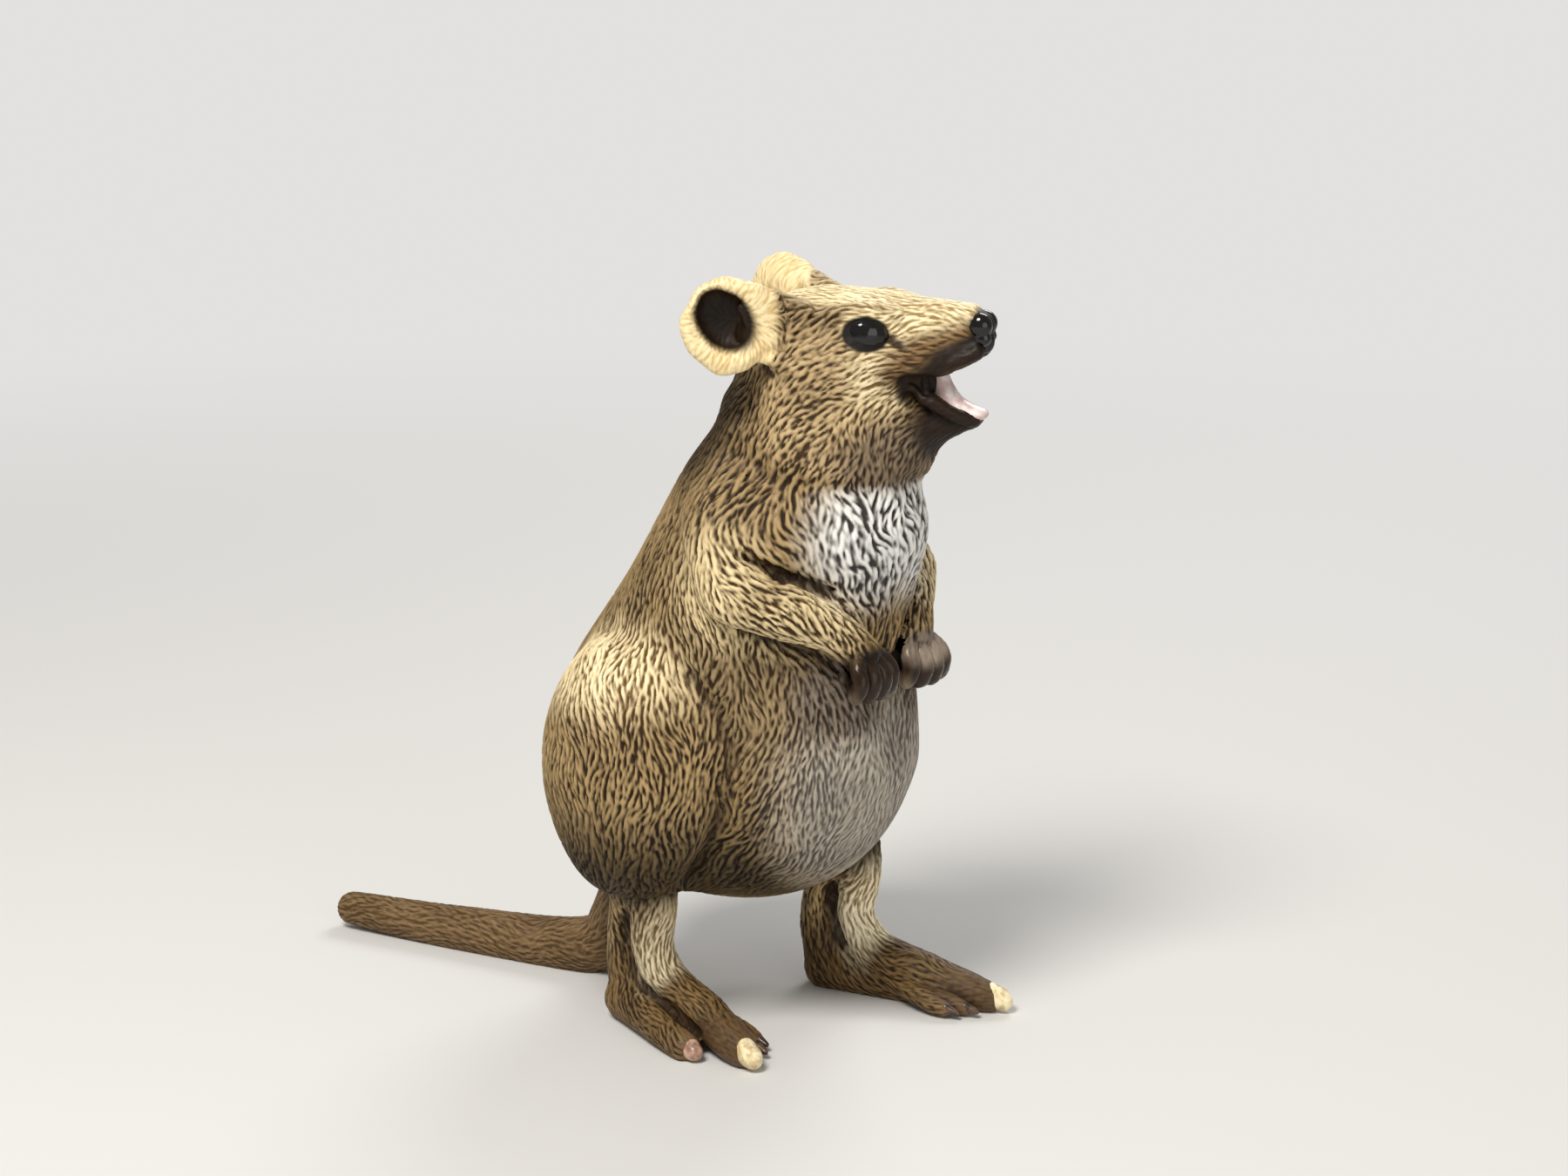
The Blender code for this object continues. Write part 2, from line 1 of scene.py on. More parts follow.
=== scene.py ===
# Standing quokka figurine, about 43 mm tall: moulded PVC with its fur cut in relief, painted by hand.
# It faces -Y, its left side is +X and it stands at z = 0.
# The shapes are sculpted in millimetres and end in metres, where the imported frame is.

import math
import time
from functools import partial

import bmesh
import bpy
import numpy as np
from mathutils import Euler, Matrix, Vector
from mathutils.bvhtree import BVHTree


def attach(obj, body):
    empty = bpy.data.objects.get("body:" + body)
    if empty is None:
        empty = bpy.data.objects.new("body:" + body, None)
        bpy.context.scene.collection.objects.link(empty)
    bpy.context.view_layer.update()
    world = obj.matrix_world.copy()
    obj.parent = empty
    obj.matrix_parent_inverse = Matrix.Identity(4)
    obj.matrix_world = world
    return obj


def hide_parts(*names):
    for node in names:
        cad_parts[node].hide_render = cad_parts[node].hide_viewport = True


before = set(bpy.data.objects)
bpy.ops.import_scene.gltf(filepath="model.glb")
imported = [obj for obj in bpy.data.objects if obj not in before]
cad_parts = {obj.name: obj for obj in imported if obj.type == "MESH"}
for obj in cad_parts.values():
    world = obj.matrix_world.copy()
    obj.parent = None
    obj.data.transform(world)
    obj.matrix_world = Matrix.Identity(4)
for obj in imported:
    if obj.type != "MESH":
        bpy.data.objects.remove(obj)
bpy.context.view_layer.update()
started = time.time()
mm = 0.001  # in metres, as the frame is


def report(words):
    print(f"{time.time() - started:6.1f} s  {words}", flush=True)


def addObject(name, data):
    made = bpy.data.objects.new(name, data)
    bpy.context.scene.collection.objects.link(made)
    return made


def meshOf(bm, name):
    mesh = bpy.data.meshes.new(name)
    bm.to_mesh(mesh)
    bm.free()
    return mesh


# Camera, floor and light

photoView = {
    "azimuth": -54, "elevation": 14, "distance": 220, "aim": (10.2, -2.2, 22.0),
    "lens": 84.92, "sensorWidth": 36, "clipStart": 0.005,
}


def placeCamera(view):
    turn, rise = math.radians(view["azimuth"]), math.radians(view["elevation"])
    back = Vector((math.sin(turn) * math.cos(rise), -math.cos(turn) * math.cos(rise), math.sin(rise)))
    data = bpy.data.cameras.new("camera")
    data.lens = view["lens"]
    data.sensor_width = view["sensorWidth"]
    data.clip_start = view["clipStart"]
    made = addObject("camera", data)
    made.location = (Vector(view["aim"]) + back * view["distance"]) * mm
    made.rotation_mode = "QUATERNION"
    made.rotation_quaternion = (-back).to_track_quat("-Z", "Y")
    bpy.context.scene.camera = made


def linear(colour):
    # "#RRGGBB" in sRGB to linear red, green, blue and 1
    parts = [int(colour[i : i + 2], 16) / 255 for i in (1, 3, 5)]
    return (*[c / 12.92 if c < 0.04045 else ((c + 0.055) / 1.055) ** 2.4 for c in parts], 1)


def addNode(tree, kind, settings=None, **links):
    # A node with its settings, and its inputs set to a value or linked to another node's output
    node = tree.nodes.new("ShaderNode" + kind)
    for key, value in (settings or {}).items():
        setattr(node, key, value)
    for key, value in links.items():
        socket = node.inputs[int(key[1:])] if key[1:].isdigit() else node.inputs[key.replace("_", " ")]
        if isinstance(value, bpy.types.NodeSocket):
            tree.links.new(value, socket)
        else:
            socket.default_value = value
    return node


def newMaterial(name):
    made = bpy.data.materials.new(name)
    made.use_nodes = True
    made.node_tree.nodes.clear()
    return made, made.node_tree


def maths(tree, operation, *values):
    return addNode(tree, "Math", {"operation": operation}, **{f"_{i}": v for i, v in enumerate(values)}).outputs[0]


def ramp(tree, value, low, high, start=0.0, end=1.0):
    # From start to end in a soft step, while the value goes from low to high
    settings = {"interpolation_type": "SMOOTHSTEP"}
    return addNode(tree, "MapRange", settings, Value=value, _1=low, _2=high, _3=start, _4=end).outputs[0]


def mixOf(tree, share, under, over, blend="MIX"):
    return addNode(tree, "MixRGB", {"blend_type": blend}, Fac=share, Color1=under, Color2=over).outputs[0]


def addLamp(name, place, aim, size, power, colour):
    data = bpy.data.lights.new(name, "AREA")
    data.shape = "DISK"
    data.size = size * mm
    data.energy = power
    data.color = linear(colour)[:3]
    made = addObject(name, data)
    made.location = Vector(place) * mm
    made.rotation_euler = (Vector(aim) - Vector(place)).to_track_quat("-Z", "Y").to_euler()


studio = {
    "floor": "#D9D8D6", "floorSize": 3, "floorRoughness": 0.85, "backdrop": "#E2E1DF",
    "fadeFrom": 0.05, "fadeTo": 0.22, "room": "#FFFDF9", "roomStrength": 0.36,
    "lamps": [  # name, place, aim, width, power, colour
        ("key", (-170, -30, 250), (0, -5, 22), 110, 0.74, "#FFFCF6"),
        ("fill", (-120, -260, 60), (0, -5, 20), 200, 0.16, "#FFFDF8"),
        ("rim", (190, 40, 190), (0, -5, 24), 120, 0.22, "#FFFFFF"),
    ],
}


def buildStudio(s):
    # A plain pale floor, seen as a paler backdrop far off, and three soft lamps
    bm = bmesh.new()
    bmesh.ops.create_grid(bm, x_segments=1, y_segments=1, size=s["floorSize"])
    floor = addObject("floor", meshOf(bm, "floor"))
    paper, tree = newMaterial("matt_paper_floor")
    shader = addNode(tree, "BsdfPrincipled", Base_Color=linear(s["floor"]), Roughness=s["floorRoughness"])
    # away from the figurine the camera sees the floor as the plain backdrop
    coord = addNode(tree, "TexCoord")
    reach = addNode(tree, "VectorMath", {"operation": "LENGTH"}, _0=coord.outputs["Object"])
    fade = ramp(tree, reach.outputs["Value"], s["fadeFrom"], s["fadeTo"])
    share = maths(tree, "MULTIPLY", fade, addNode(tree, "LightPath").outputs["Is Camera Ray"])
    plain = addNode(tree, "Emission", Color=linear(s["backdrop"]), Strength=1.0)
    both = addNode(tree, "MixShader", _0=share, _1=shader.outputs[0], _2=plain.outputs[0])
    addNode(tree, "OutputMaterial", Surface=both.outputs[0])
    floor.data.materials.append(paper)
    world = bpy.data.worlds.new("studio")
    world.use_nodes = True
    bpy.context.scene.world = world
    tree = world.node_tree
    tree.nodes.clear()
    rays = addNode(tree, "LightPath").outputs
    seen = maths(tree, "MAXIMUM", rays["Is Camera Ray"], rays["Is Transmission Ray"])
    room = addNode(tree, "Background", Color=linear(s["room"]), Strength=s["roomStrength"])
    backdrop = addNode(tree, "Background", Color=linear(s["backdrop"]), Strength=1.0)
    both = addNode(tree, "MixShader", _0=seen, _1=room.outputs[0], _2=backdrop.outputs[0])
    addNode(tree, "OutputWorld", Surface=both.outputs[0])
    for lamp in s["lamps"]:
        addLamp(*lamp)
    bpy.context.scene.view_settings.view_transform = "Standard"


# Places that several pieces share, in millimetres, and turns in degrees

stance = {
    "eyes": (1.236, -15.204, 40.6), "headTurn": 18,
    "elbow": (7.4, -11.6, 26.4), "rightPalm": (-2.8, -16.85, 22.7), "leftPalm": (2.0, -16.9, 22.6),
    "heelOut": 5.2, "heelsBack": -4.5, "halfStride": 2.95, "rightToes": -16, "leftToes": 10,
    "tailRoot": (0, 0.4, 7.2), "tailSwing": 10,
    "leftAhead": 0.8, "leftAheadBelow": 24,  # the left haunch is stepped forwards with its foot
}
eyes = Vector(stance["eyes"])
headAngle = math.radians(stance["headTurn"])
headTurn = Matrix.Rotation(headAngle, 4, "Z")
tailRoot = Vector(stance["tailRoot"])
tailAngle = math.radians(stance["tailSwing"])
tailBack = Vector((-math.sin(tailAngle), math.cos(tailAngle), 0))


def onHead(ahead, out, up):
    # A point given from between the eyes: ahead to the nose, out to the animal's left, and up
    return eyes + headTurn @ Vector((out, -ahead, up))


def onFoot(side, ahead, out, up):
    # A point given from the back of the heel: ahead along the foot, outwards, and up from the floor
    angle = math.radians(stance["leftToes"] if side > 0 else stance["rightToes"])
    forwards = Vector((math.sin(angle), -math.cos(angle), 0))
    outwards = Vector((math.cos(angle), math.sin(angle), 0)) * side
    heel = Vector((side * stance["heelOut"], stance["heelsBack"] - side * stance["halfStride"], 0))
    return heel + forwards * ahead + outwards * out + Vector((0, 0, up))


def onBody(side, out, back, up):
    return Vector((side * out, back, up))


def onCheek(side, ahead, out, up):
    return onHead(ahead, side * out, up)


def onTail(back, up):
    # A point given from the tail's root: how far back, and how high over the floor
    spot = tailRoot + tailBack * back
    spot.z = up
    return spot


def palm(side):
    return Vector(stance["leftPalm"] if side > 0 else stance["rightPalm"])


# Clay tools

def addLump(bm, centre, size, turn=None):
    # An ellipsoid of the given full size
    place = Matrix.Translation(centre) @ (turn or Matrix()) @ Matrix.Diagonal((*(Vector(size) / 2), 1))
    bmesh.ops.create_uvsphere(bm, u_segments=16, v_segments=9, radius=1, matrix=place)


def pour(part, bm):
    # Adds a small bmesh to a large one, because an operator on the large one is slow
    mesh = meshOf(part, "part")
    bm.from_mesh(mesh)
    bpy.data.meshes.remove(mesh)


def addRoll(bm, *stations, flat=1.0, turn=None, spacing=0.5):
    # Balls along a smooth curve through (place, radius) stations, close enough to read as one limb
    last = len(stations) - 1
    part = bmesh.new()
    for i in range(last):
        (a, ra), (b, rb) = stations[i], stations[i + 1]
        before = stations[max(i - 1, 0)][0]
        after = stations[min(i + 2, last)][0]
        leave, arrive = (b - before) * 0.5, (after - a) * 0.5
        count = max(2, math.ceil((b - a).length / (min(ra, rb) * spacing)))
        for step in range(count + (i == last - 1)):
            t = step / count
            ends = a * (2 * t**3 - 3 * t**2 + 1) + leave * (t**3 - 2 * t**2 + t)
            here = ends + b * (3 * t**2 - 2 * t**3) + arrive * (t**3 - t**2)
            radius = ra + (rb - ra) * t
            addLump(part, here, (2 * radius, 2 * radius, 2 * radius * flat), turn)
    pour(part, bm)


def addRolls(bm, place, rolls, **settings):
    # Rolls through stations of three measures and a radius, which a function puts in place
    for stations in rolls:
        addRoll(bm, *[(place(*spot), radius) for *spot, radius in stations], **settings)


def addNodeCopy(bm, *names):
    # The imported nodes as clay, merged and in millimetres
    for name in names:
        bm.from_mesh(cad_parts[name].data)
    bmesh.ops.remove_doubles(bm, verts=bm.verts, dist=1e-6)
    bmesh.ops.scale(bm, vec=(1000, 1000, 1000), verts=bm.verts)


def fused(bm, grain, grow=0.0):
    # The clay as one closed skin of the given grain, and larger by grow before that
    mesh = meshOf(bm, "clay")
    clay = addObject("clay", mesh)
    if grow:
        swell = clay.modifiers.new("swell", "DISPLACE")
        swell.mid_level = 0
        swell.strength = grow
    fuse = clay.modifiers.new("fuse", "REMESH")
    fuse.mode = "VOXEL"
    fuse.voxel_size = grain
    graph = bpy.context.evaluated_depsgraph_get()
    skin = bpy.data.meshes.new_from_object(clay.evaluated_get(graph))
    bpy.data.objects.remove(clay)
    bpy.data.meshes.remove(mesh)
    return skin


def placesOf(mesh):
    flat = np.empty(len(mesh.vertices) * 3, np.float32)
    mesh.vertices.foreach_get("co", flat)
    return flat.reshape(-1, 3).astype(np.float64)


def normalsOf(mesh):
    flat = np.empty(len(mesh.vertices) * 3, np.float32)
    mesh.vertex_normals.foreach_get("vector", flat)
    return flat.reshape(-1, 3).astype(np.float64)


def edgesOf(mesh):
    flat = np.empty(len(mesh.edges) * 2, np.int32)
    mesh.edges.foreach_get("vertices", flat)
    return flat.reshape(-1, 2)


def setPlaces(mesh, places):
    mesh.vertices.foreach_set("co", places.astype(np.float32).ravel())
    mesh.update()


def relax(values, edges, rounds, share=0.5):
    # Each vertex's values drawn towards the mean of its neighbours
    a, b = edges[:, 0], edges[:, 1]
    count = len(values)
    around = np.bincount(a, minlength=count) + np.bincount(b, minlength=count)
    around = np.maximum(around, 1)
    values = values.copy()
    share = np.broadcast_to(np.asarray(share, float), (count,))
    for _ in range(rounds):
        for axis in range(values.shape[1]):
            column = values[:, axis]
            mean = (np.bincount(a, column[b], count) + np.bincount(b, column[a], count)) / around
            values[:, axis] = column + share * (mean - column)
    return values


def smoothstep(values, low, high):
    t = np.clip((values - low) / (high - low), 0, 1)
    return t * t * (3 - 2 * t)


def toHead(places):
    # Ahead, out and up from between the eyes, for an array of places
    rel = places - np.array(eyes)
    c, s = math.cos(headAngle), math.sin(headAngle)
    x, y = c * rel[:, 0] + s * rel[:, 1], -s * rel[:, 0] + c * rel[:, 1]
    return np.stack([-y, x, rel[:, 2]], 1)


def nearLine(places, line):
    # Distance from each place to a line of points
    best = np.full(len(places), 1e9)
    for a, b in zip(line[:-1], line[1:]):
        a, b = np.array(a, float), np.array(b, float)
        run = b - a
        t = np.clip((places - a) @ run / max(run @ run, 1e-12), 0, 1)
        best = np.minimum(best, np.linalg.norm(places - a - t[:, None] * run, axis=1))
    return best


def inBlob(places, centre, radii, soft=0.35):
    # 1 inside an ellipsoid, 0 outside it, with a soft edge
    reach = np.linalg.norm((places - np.array(centre)) / np.array(radii), axis=1)
    return 1 - smoothstep(reach, 1 - soft, 1 + soft)


# The coarse body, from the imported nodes

trunkShape = {
    "grain": 0.25, "grow": 0.2, "rounds": 8, "bodyRounds": 60, "bodyShare": 0.5,
    "face": (-4.0, 2.5), "faceHeight": (33.0, 35.5),  # ahead of and above these the many rounds fade out
    "handSocket": [(2.6, -13.4, 23.0, 0.85), (2.6, -15.75, 23.0, 0.85)],  # for the peg, filled
}


def buildTrunk(s):
    bm = bmesh.new()
    addNodeCopy(bm, "body", "head")
    for side in (-1, 1):
        addRolls(bm, partial(onBody, side), [s["handSocket"]])
    skin = fused(bm, s["grain"], grow=s["grow"])
    places, edges = placesOf(skin), edgesOf(skin)
    face = smoothstep(toHead(places)[:, 0], *s["face"]) * smoothstep(places[:, 2], *s["faceHeight"])
    places = relax(places, edges, s["rounds"])
    places = relax(places, edges, s["bodyRounds"], s["bodyShare"] * (1 - face))
    setPlaces(skin, places)
    setPlaces(skin, placesOf(skin) - normalsOf(skin) * s["grow"])
    return skin


# Finer limbs and features, as rolls of clay. Each station is a place and a radius.

earShape = {
    "spacing": 9.3, "behind": 7.0, "up": 0.25, "forwards": 20, "tilt": 6, "farSize": 0.94,
    "profile": [  # distance from the ear's axis, and height along it, from the back to the hollow's floor
        (0.0, -1.15), (1.3, -1.05), (2.2, -0.55), (2.68, 0.1), (2.7, 0.55), (2.45, 0.85),
        (2.1, 0.8), (1.85, 0.45), (1.7, -0.05), (1.2, -0.45), (0.0, -0.55),
    ],
    "steps": 36, "radius": 2.7, "height": 0.98, "frontSlope": 0.7, "waves": (0.025, 0.02),
    "hollowBack": 0.42, "hollowUp": 0.28, "hollowWidth": 0.78, "lean": (0.76, 0.65),
    "hollowFloor": -0.56, "hollowReach": 2.15,
    "stalk": [(-6.0, 3.4, -0.4, 1.25), (-4.6, 2.6, -0.8, 1.5)],
    "rim": (-0.05, -2.05, 0.25, 0.62),  # where the slopes leave the rim: out, ahead, more by height, radius
    "slopes": [  # height on the rim, and the place and radius on the skull
        (1.55, (-3.6, 2.9, 0.7), 0.85), (0.6, (-3.3, 3.1, 0.0), 0.85),
        (-0.5, (-3.2, 3.3, -1.0), 0.85), (-1.5, (-3.5, 3.6, -2.1), 0.85),
    ],
    "folds": [
        [(-6.5, 4.5, 1.2, 0.26), (-6.1, 4.35, 0.2, 0.3), (-6.2, 4.3, -1.0, 0.28)],
        [(-5.9, 4.5, 1.1, 0.26), (-5.5, 4.4, 0.1, 0.3), (-5.7, 4.35, -1.0, 0.28)],
    ],
}


def earFrame(side):
    e = earShape
    angles = Euler((math.radians(e["tilt"]), 0, math.radians(-side * e["forwards"])))
    size = Matrix.Scale(e["farSize"] if side > 0 else 1, 4)
    place = Matrix.Translation(onHead(-e["behind"], side * e["spacing"] / 2, e["up"]))
    return place @ (headTurn @ angles.to_matrix().to_4x4()) @ size


def hollowOval(up, back):
    # How far a point is from the middle of the ear's hollow, along and across its oval
    c, s = earShape["lean"]
    up, back = up - earShape["hollowUp"], back - earShape["hollowBack"]
    return up * c + back * s, (back * c - up * s) / earShape["hollowWidth"]


def addEar(bm, side):
    # A cup with a thick rolled rim, spun about the axis that its hollow opens along
    e = earShape
    c, s = e["lean"]
    part = bmesh.new()
    verts = [part.verts.new((r, 0, h)) for r, h in e["profile"]]
    edges = [part.edges.new(pair) for pair in zip(verts, verts[1:])]
    spin = {"axis": (0, 0, 1), "cent": (0, 0, 0), "steps": e["steps"], "angle": 2 * math.pi}
    bmesh.ops.spin(part, geom=verts + edges, use_merge=True, **spin)
    bmesh.ops.remove_doubles(part, verts=part.verts, dist=1e-4)
    for v in part.verts:
        angle = math.atan2(v.co.y, v.co.x)
        wave = 1 + e["waves"][0] * math.sin(5 * angle + side) + e["waves"][1] * math.sin(9 * angle)
        up, back = -side * v.co.x, v.co.y
        if v.co.z > e["hollowFloor"] and math.hypot(up, back) < e["hollowReach"]:
            # the hollow is an oval that leans forwards, and lies further back than the rim's middle
            length, width = up * c + back * s, (back * c - up * s) * e["hollowWidth"]
            up = length * c - width * s + e["hollowUp"]
            back = length * s + width * c + e["hollowBack"]
        if back < 0 and v.co.z > 0:
            v.co.z -= e["frontSlope"] * (back / e["radius"]) ** 2
        v.co.x = -side * up * wave * e["height"]
        v.co.y = back * wave
    bmesh.ops.subdivide_edges(part, edges=part.edges, cuts=1, use_grid_fill=True, smooth=0.6)
    bmesh.ops.triangulate(part, faces=part.faces)
    bmesh.ops.recalc_face_normals(part, faces=part.faces)
    outwards = Matrix.Rotation(math.radians(90 * side), 4, "Y")
    bmesh.ops.transform(part, matrix=earFrame(side) @ outwards, verts=part.verts)
    pour(part, bm)
    # the stalk, the folds inside the hollow, and the slopes from the front of the rim to the skull
    addRolls(bm, partial(onCheek, side), [e["stalk"], *e["folds"]])
    out, ahead, more, radius = e["rim"]
    for up, (onAhead, onOut, onUp), skullRadius in e["slopes"]:
        rim = earFrame(side) @ Vector((out * side, ahead + more * abs(up), up))
        addRoll(bm, (rim, radius), (onHead(onAhead, side * onOut, onUp), skullRadius))


armShape = {
    "elbow": 1.85, "bulge": 1.72, "wrist": 1.12, "palm": 1.0, "wristAt": 0.72, "bulgeAt": 0.45,
    "wristLift": (0, -0.5, 0.75), "bulgeLift": (0.15, -0.35, 0.25), "palmLift": 0.4,
    "fingers": 4, "fingerSpacing": 0.84, "fingerRadii": (0.4, 0.37, 0.33, 0.25),
}


def addArm(bm, side):
    s = armShape
    elbow, hand = onBody(side, *stance["elbow"]), palm(side)
    wrist = elbow.lerp(hand, s["wristAt"]) + Vector(s["wristLift"])
    bulge = elbow.lerp(wrist, s["bulgeAt"]) + onBody(side, *s["bulgeLift"])
    back = hand + Vector((0, 0, s["palmLift"]))
    addRoll(bm, (elbow, s["elbow"]), (bulge, s["bulge"]), (wrist, s["wrist"]), (back, s["palm"]))
    middleFinger = (s["fingers"] - 1) / 2
    for finger in range(s["fingers"]):
        across = (finger - middleFinger) * s["fingerSpacing"]
        start = hand + Vector((across * 0.5, -0.25, s["palmLift"]))
        knuckle = hand + Vector((across, -0.7 - 0.12 * (middleFinger - abs(finger - middleFinger)), -0.2))
        middle = knuckle + Vector((across * 0.12, -0.3, -0.65))
        tip = knuckle + Vector((across * 0.2, 0.0, -1.4))
        addRoll(bm, *zip((start, knuckle, middle, tip), s["fingerRadii"]))


# The fur at the foot of the chest, which fills the gap between the wrists
chestFoot = [
    [(-0.6, -15.6, 25.6, 1.2), (0.6, -15.9, 24.6, 1.1), (0.2, -15.9, 23.2, 1.0)],
    [(1.4, -15.2, 26.2, 1.2), (2.0, -15.6, 24.8, 1.1), (1.9, -15.9, 23.4, 0.9)],
]

# Ahead, out and up from the back of the heel: heel and tendon, shin and main toe, the web between
# them, the outer toe, the sole, and the two inner toes
legRolls = [
    [(2.6, 0, 9.6, 1.9), (1.9, 0, 7.4, 1.5), (0.75, 0, 4.4, 1.0), (1.1, 0, 2.4, 1.2), (1.5, 0, 1.2, 1.45)],
    [
        (2.6, 0, 9.6, 1.9), (3.3, -0.1, 7.2, 1.45), (3.15, -0.2, 4.6, 1.25), (4.6, -0.4, 2.75, 1.25),
        (7.8, -0.5, 1.75, 1.28), (10.7, -0.25, 1.02, 1.08), (11.75, -0.2, 0.8, 0.86),
    ],
    [(2.0, 0, 7.0, 1.0), (2.1, 0, 4.0, 0.75), (2.6, 0, 2.2, 1.1)],
    [(1.5, 0.3, 1.2, 1.4), (4.5, 1.0, 1.1, 1.15), (7.0, 1.5, 0.85, 0.95), (8.6, 1.6, 0.65, 0.92)],
    [(1.5, -0.1, 1.15, 1.45), (6.9, -0.4, 0.95, 1.15)],
    [(6.2, -0.9, 1.15, 0.85), (8.6, -1.45, 1.0, 0.62), (10.0, -1.65, 0.7, 0.56), (10.9, -1.7, 0.5, 0.42)],
    [(6.2, -0.9, 1.4, 0.8), (7.8, -1.85, 1.05, 0.62), (9.2, -2.3, 0.7, 0.56), (10.0, -2.4, 0.5, 0.42)],
]

# Along the tail: how far back of the root, height, radius
tailShape = [(0, 7.2, 2.45), (1.4, 3.84, 2.0), (3.8, 1.4, 1.75), (12.6, 1.03, 1.4), (20.4, 1.2, 1.0)]

# Ahead, out and up from between the eyes, on both sides of the face
faceRolls = [
    [(-1.6, 2.75, 0.6, 0.75), (-0.2, 2.55, 0.85, 0.7), (1.3, 1.9, 0.75, 0.6)],  # brow
    [(1.8, 0.45, 0.55, 0.95), (3.5, 0.4, 0.52, 0.85), (5.0, 0.35, 0.5, 0.75)],  # top of the muzzle
    [(-0.8, 3.2, -1.6, 1.0), (1.2, 2.35, -1.65, 0.95), (3.0, 1.55, -1.2, 0.8)],  # cheekbone
    [(2.7, 1.75, -2.35, 0.6), (4.2, 1.25, -1.75, 0.62), (5.5, 0.8, -1.15, 0.6)],  # upper lip
    [(2.9, 1.5, -3.6, 0.5), (4.3, 1.05, -4.6, 0.45), (5.4, 0.35, -5.05, 0.4)],  # lower lip
    [  # upper and lower eyelid, which meet in a point in front of the eye
        (-1.4, 2.98, -0.35, 0.24), (-0.85, 3.0, 0.5, 0.3), (0.1, 2.82, 0.75, 0.3),
        (0.95, 2.5, 0.4, 0.28), (1.5, 2.25, -0.3, 0.22),
    ],
    [
        (-1.4, 2.98, -0.35, 0.24), (-0.75, 3.12, -1.05, 0.28), (0.15, 2.98, -1.25, 0.28),
        (0.95, 2.65, -0.95, 0.26), (1.5, 2.25, -0.3, 0.22),
    ],
    [(2.2, 1.7, -2.9, 0.6), (2.75, 1.35, -3.1, 0.5)],  # corner of the mouth, drawn forward between the lips
]
middleRolls = [
    [(2.2, 0, -2.9, 1.3), (2.7, 0, -3.2, 0.95)],  # throat behind the tongue
    [(2.6, 0, -5.4, 1.4), (4.5, 0, -5.1, 0.75), (5.3, 0, -5.1, 0.45)],  # jaw
]


# Folds and swellings pressed into the fused skin: how wide each works and how far it moves the skin,
# in millimetres, what its line is measured from, and the line on the surface. Each works on both sides.

pressed = {
    "haunch front": (0.7, -0.5, "floor", [
        (-8.0, -9.0, 21.6), (-7.7, -10.6, 19.6), (-7.5, -11.3, 17.6), (-7.5, -11.0, 14.6), (-7.1, -9.6, 11.6),
        (-6.5, -7.8, 9.3),
    ]),
    "haunch swell": (3.4, 0.35, "floor", [(-9.4, -5.6, 20.0), (-9.6, -7.4, 16.5), (-9.0, -7.0, 12.0)]),
    "over forearm": (0.42, -0.75, "floor", [
        (-7.6, -12.6, 28.9), (-6.4, -13.8, 27.9), (-5.2, -14.9, 27.2), (-4.1, -15.9, 26.6),
    ]),
    "under forearm": (0.6, -0.7, "floor", [
        (-9.0, -11.0, 24.9), (-7.5, -12.7, 24.2), (-5.9, -13.9, 23.7), (-4.4, -15.1, 22.9),
        (-3.4, -15.9, 21.9),
    ]),
    "behind arm": (1.1, -0.5, "floor", [
        (-6.6, -6.0, 30.5), (-7.6, -7.6, 28.4), (-8.3, -8.8, 26.4), (-8.8, -10.4, 24.9),
    ]),
    "neck fold": (0.9, -0.28, "floor", [
        (-4.9, -9.4, 33.9), (-5.2, -11.1, 33.3), (-5.1, -12.8, 32.5), (-4.6, -14.3, 32.0),
        (-3.5, -16.0, 32.2), (-1.7, -17.2, 32.2), (0, -17.9, 32.2),
    ]),
    "flank": (2.2, -0.22, "floor", [(-7.2, -12.4, 21.0), (-6.9, -12.6, 17.0), (-6.5, -11.6, 12.5)]),
    "belly front": (3.0, 0.6, "floor", [(-2.4, -16.4, 20.5), (-2.4, -16.8, 16.5)]),
    "throat hollow": (1.7, -0.6, "eyes", [(3.2, -0.6, -6.6), (2.0, -0.6, -8.3)]),
    "nape": (1.4, 0.4, "eyes", [(-9.0, 0, -2.5), (-8.6, 0, -4.6)]),
    "chest swell": (3.2, 0.5, "floor", [(-2.2, -17.0, 30.0), (0, -17.6, 30.0)]),
    "behind jaw": (1.5, -0.3, "eyes", [(-6.8, -3.0, -3.2), (-6.2, -4.2, -5.5), (-5.4, -4.9, -7.6)]),
    "under ear": (1.0, -0.55, "eyes", [(-8.0, -2.6, -2.5), (-7.0, -3.3, -2.7), (-5.6, -3.8, -2.2)]),
    "eye socket": (1.3, -0.4, "eyes", [(-0.8, -3.0, -0.25), (0.6, -2.6, -0.25)]),
    "front of the eye": (0.35, -0.25, "eyes", [(1.0, -2.4, -0.3), (1.7, -2.2, -0.8)]),
    "side of the muzzle": (1.1, -0.3, "eyes", [(2.2, -2.2, -0.6), (3.6, -1.9, -0.6), (4.9, -1.4, -0.5)]),
    "mouth corner": (0.7, -0.6, "eyes", [(2.3, -2.3, -3.0), (3.1, -1.9, -3.0)]),
    "shin hollow": (0.6, -0.45, "heel", [(2.2, 1.0, 6.6), (2.0, 0.9, 4.4), (2.6, 1.1, 2.9)]),
    "inner shin hollow": (0.6, -0.6, "heel", [(2.1, -1.0, 6.4), (2.0, -1.0, 4.6), (2.7, -1.1, 3.0)]),
    "between toes": (0.45, -0.25, "heel", [
        (3.2, 0.75, 2.6), (4.6, 0.65, 2.3), (6.6, 0.8, 1.9), (8.6, 0.85, 1.3),
    ]),
    "over the knuckles": (0.4, -0.2, "heel", [(8.9, -1.0, 1.9), (9.0, 0.4, 1.9)]),
}
pressFalloff = 1.6


